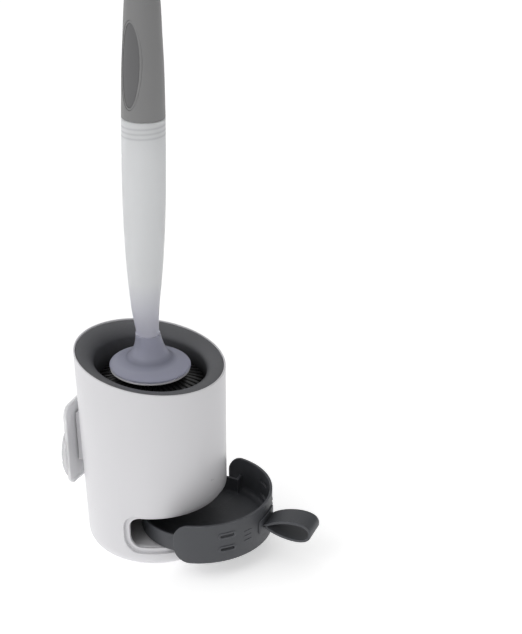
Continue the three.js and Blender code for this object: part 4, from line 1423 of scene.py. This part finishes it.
def area_light(name, place, size, power):
    deselect()
    bpy.ops.object.light_add(type="AREA", location=place)
    lamp = bpy.context.object
    lamp.name = name
    lamp.data.shape = "RECTANGLE"
    lamp.data.size = size
    lamp.data.size_y = size
    lamp.data.energy = power
    aim = Vector(LIT_POINT) - place
    lamp.rotation_euler = aim.to_track_quat("-Z", "Y").to_euler()
    return lamp


class BuildStage(bpy.types.Operator):
    """Pale floor, soft lights and the camera"""
    bl_idname = "brush_set.stage"
    bl_label = "Stage"

    def execute(self, context):
        settings = context.scene.brush_stage
        deselect()
        bpy.ops.mesh.primitive_plane_add(size=16, location=(0, 0, 0))
        floor = named("floor")
        material = bpy.data.materials.new("floor")
        material.use_nodes = True
        shader = material.node_tree.nodes["Principled BSDF"]
        values = {
            "Base Color": (*settings.floor, 1),
            "Roughness": 0.9,
            "Specular IOR Level": 0.1,
            "Emission Color": (1, 1, 1, 1),
            "Emission Strength": settings.glow,
        }
        for label, value in values.items():
            shader.inputs[label].default_value = value
        floor.data.materials.append(material)

        world = bpy.data.worlds.new("studio")
        world.use_nodes = True
        background = world.node_tree.nodes["Background"]
        background.inputs["Color"].default_value = (1, 1, 1, 1)
        tree = world.node_tree
        sky = put(tree, "ShaderNodeTexCoord").outputs["Generated"]
        split = put(tree, "ShaderNodeSeparateXYZ", {0: sky})
        strength = spread(tree, split.outputs["Z"], 0.0, 0.9, settings.horizon, settings.zenith)
        rightward = sums(
            tree, "ADD",
            sums(tree, "MULTIPLY", split.outputs["X"], math.cos(settings.azimuth)),
            sums(tree, "MULTIPLY", split.outputs["Y"], math.sin(settings.azimuth)))
        strength = sums(tree, "MULTIPLY", strength, spread(tree, rightward, -0.8, 0.8, 1.5, 0.45))
        tree.links.new(strength, background.inputs["Strength"])
        context.scene.world = world
        context.scene.view_settings.view_transform = "Standard"

        turn = settings.azimuth
        tilt = settings.elevation
        forward = Vector((
            -math.sin(turn) * math.cos(tilt), math.cos(turn) * math.cos(tilt), -math.sin(tilt)))
        right = Vector((math.cos(turn), math.sin(turn), 0))
        target = right * settings.target_side + Vector((0, 0, settings.target_level))
        place = target - forward * settings.distance
        for name, aside, above, size, power in LIGHTS:
            area_light(name, place + right * aside + Vector((0, 0, above)), size, power)
        bpy.ops.object.camera_add(location=place)
        camera = bpy.context.object
        camera.name = "camera"
        facing = forward.to_track_quat("-Z", "Y").to_matrix() @ Matrix.Rotation(settings.roll, 3, "Z")
        camera.rotation_euler = facing.to_euler()
        camera.data.lens = settings.lens
        camera.data.sensor_width = 36
        camera.data.clip_start = 0.05
        camera.data.clip_end = 50
        context.scene.camera = camera
        return {"FINISHED"}


STEPS = (
    BuildShell, BuildRail, BuildBase, BuildLiner, BuildBracket, BuildTray, BuildPullLoop, BuildTank,
    BuildSkirt, BuildOutlet, BuildGrip, BuildThumbPad, BuildScrewPlug, BuildHead, FinishSolids, BuildStage,
)
SETTINGS = {
    "brush_holder": HolderSettings,
    "brush_tray": TraySettings,
    "brush_handle": BrushSettings,
    "brush_finish": FinishSettings,
    "brush_stage": StageSettings,
}


class BrushSetPanel(bpy.types.Panel):
    """Lists the pieces and their sizes"""
    bl_idname = "VIEW3D_PT_brush_set"
    bl_label = "Brush set"
    bl_space_type = "VIEW_3D"
    bl_region_type = "UI"
    bl_category = "Brush set"

    def draw(self, context):
        for step in STEPS:
            self.layout.operator(step.bl_idname)
        for name, group in SETTINGS.items():
            box = self.layout.box()
            for field in group.__annotations__:
                box.prop(getattr(context.scene, name), field)


def register():
    for group in SETTINGS.values():
        bpy.utils.register_class(group)
    for name, group in SETTINGS.items():
        setattr(bpy.types.Scene, name, bpy.props.PointerProperty(type=group))
    for step in STEPS:
        bpy.utils.register_class(step)
    bpy.utils.register_class(BrushSetPanel)


def unregister():
    bpy.utils.unregister_class(BrushSetPanel)
    for step in reversed(STEPS):
        bpy.utils.unregister_class(step)
    for name, group in reversed(SETTINGS.items()):
        delattr(bpy.types.Scene, name)
        bpy.utils.unregister_class(group)


def main():
    register()
    for step in STEPS:
        prefix, operator = step.bl_idname.split(".")
        getattr(getattr(bpy.ops, prefix), operator)()


if __name__ == "__main__":
    main()
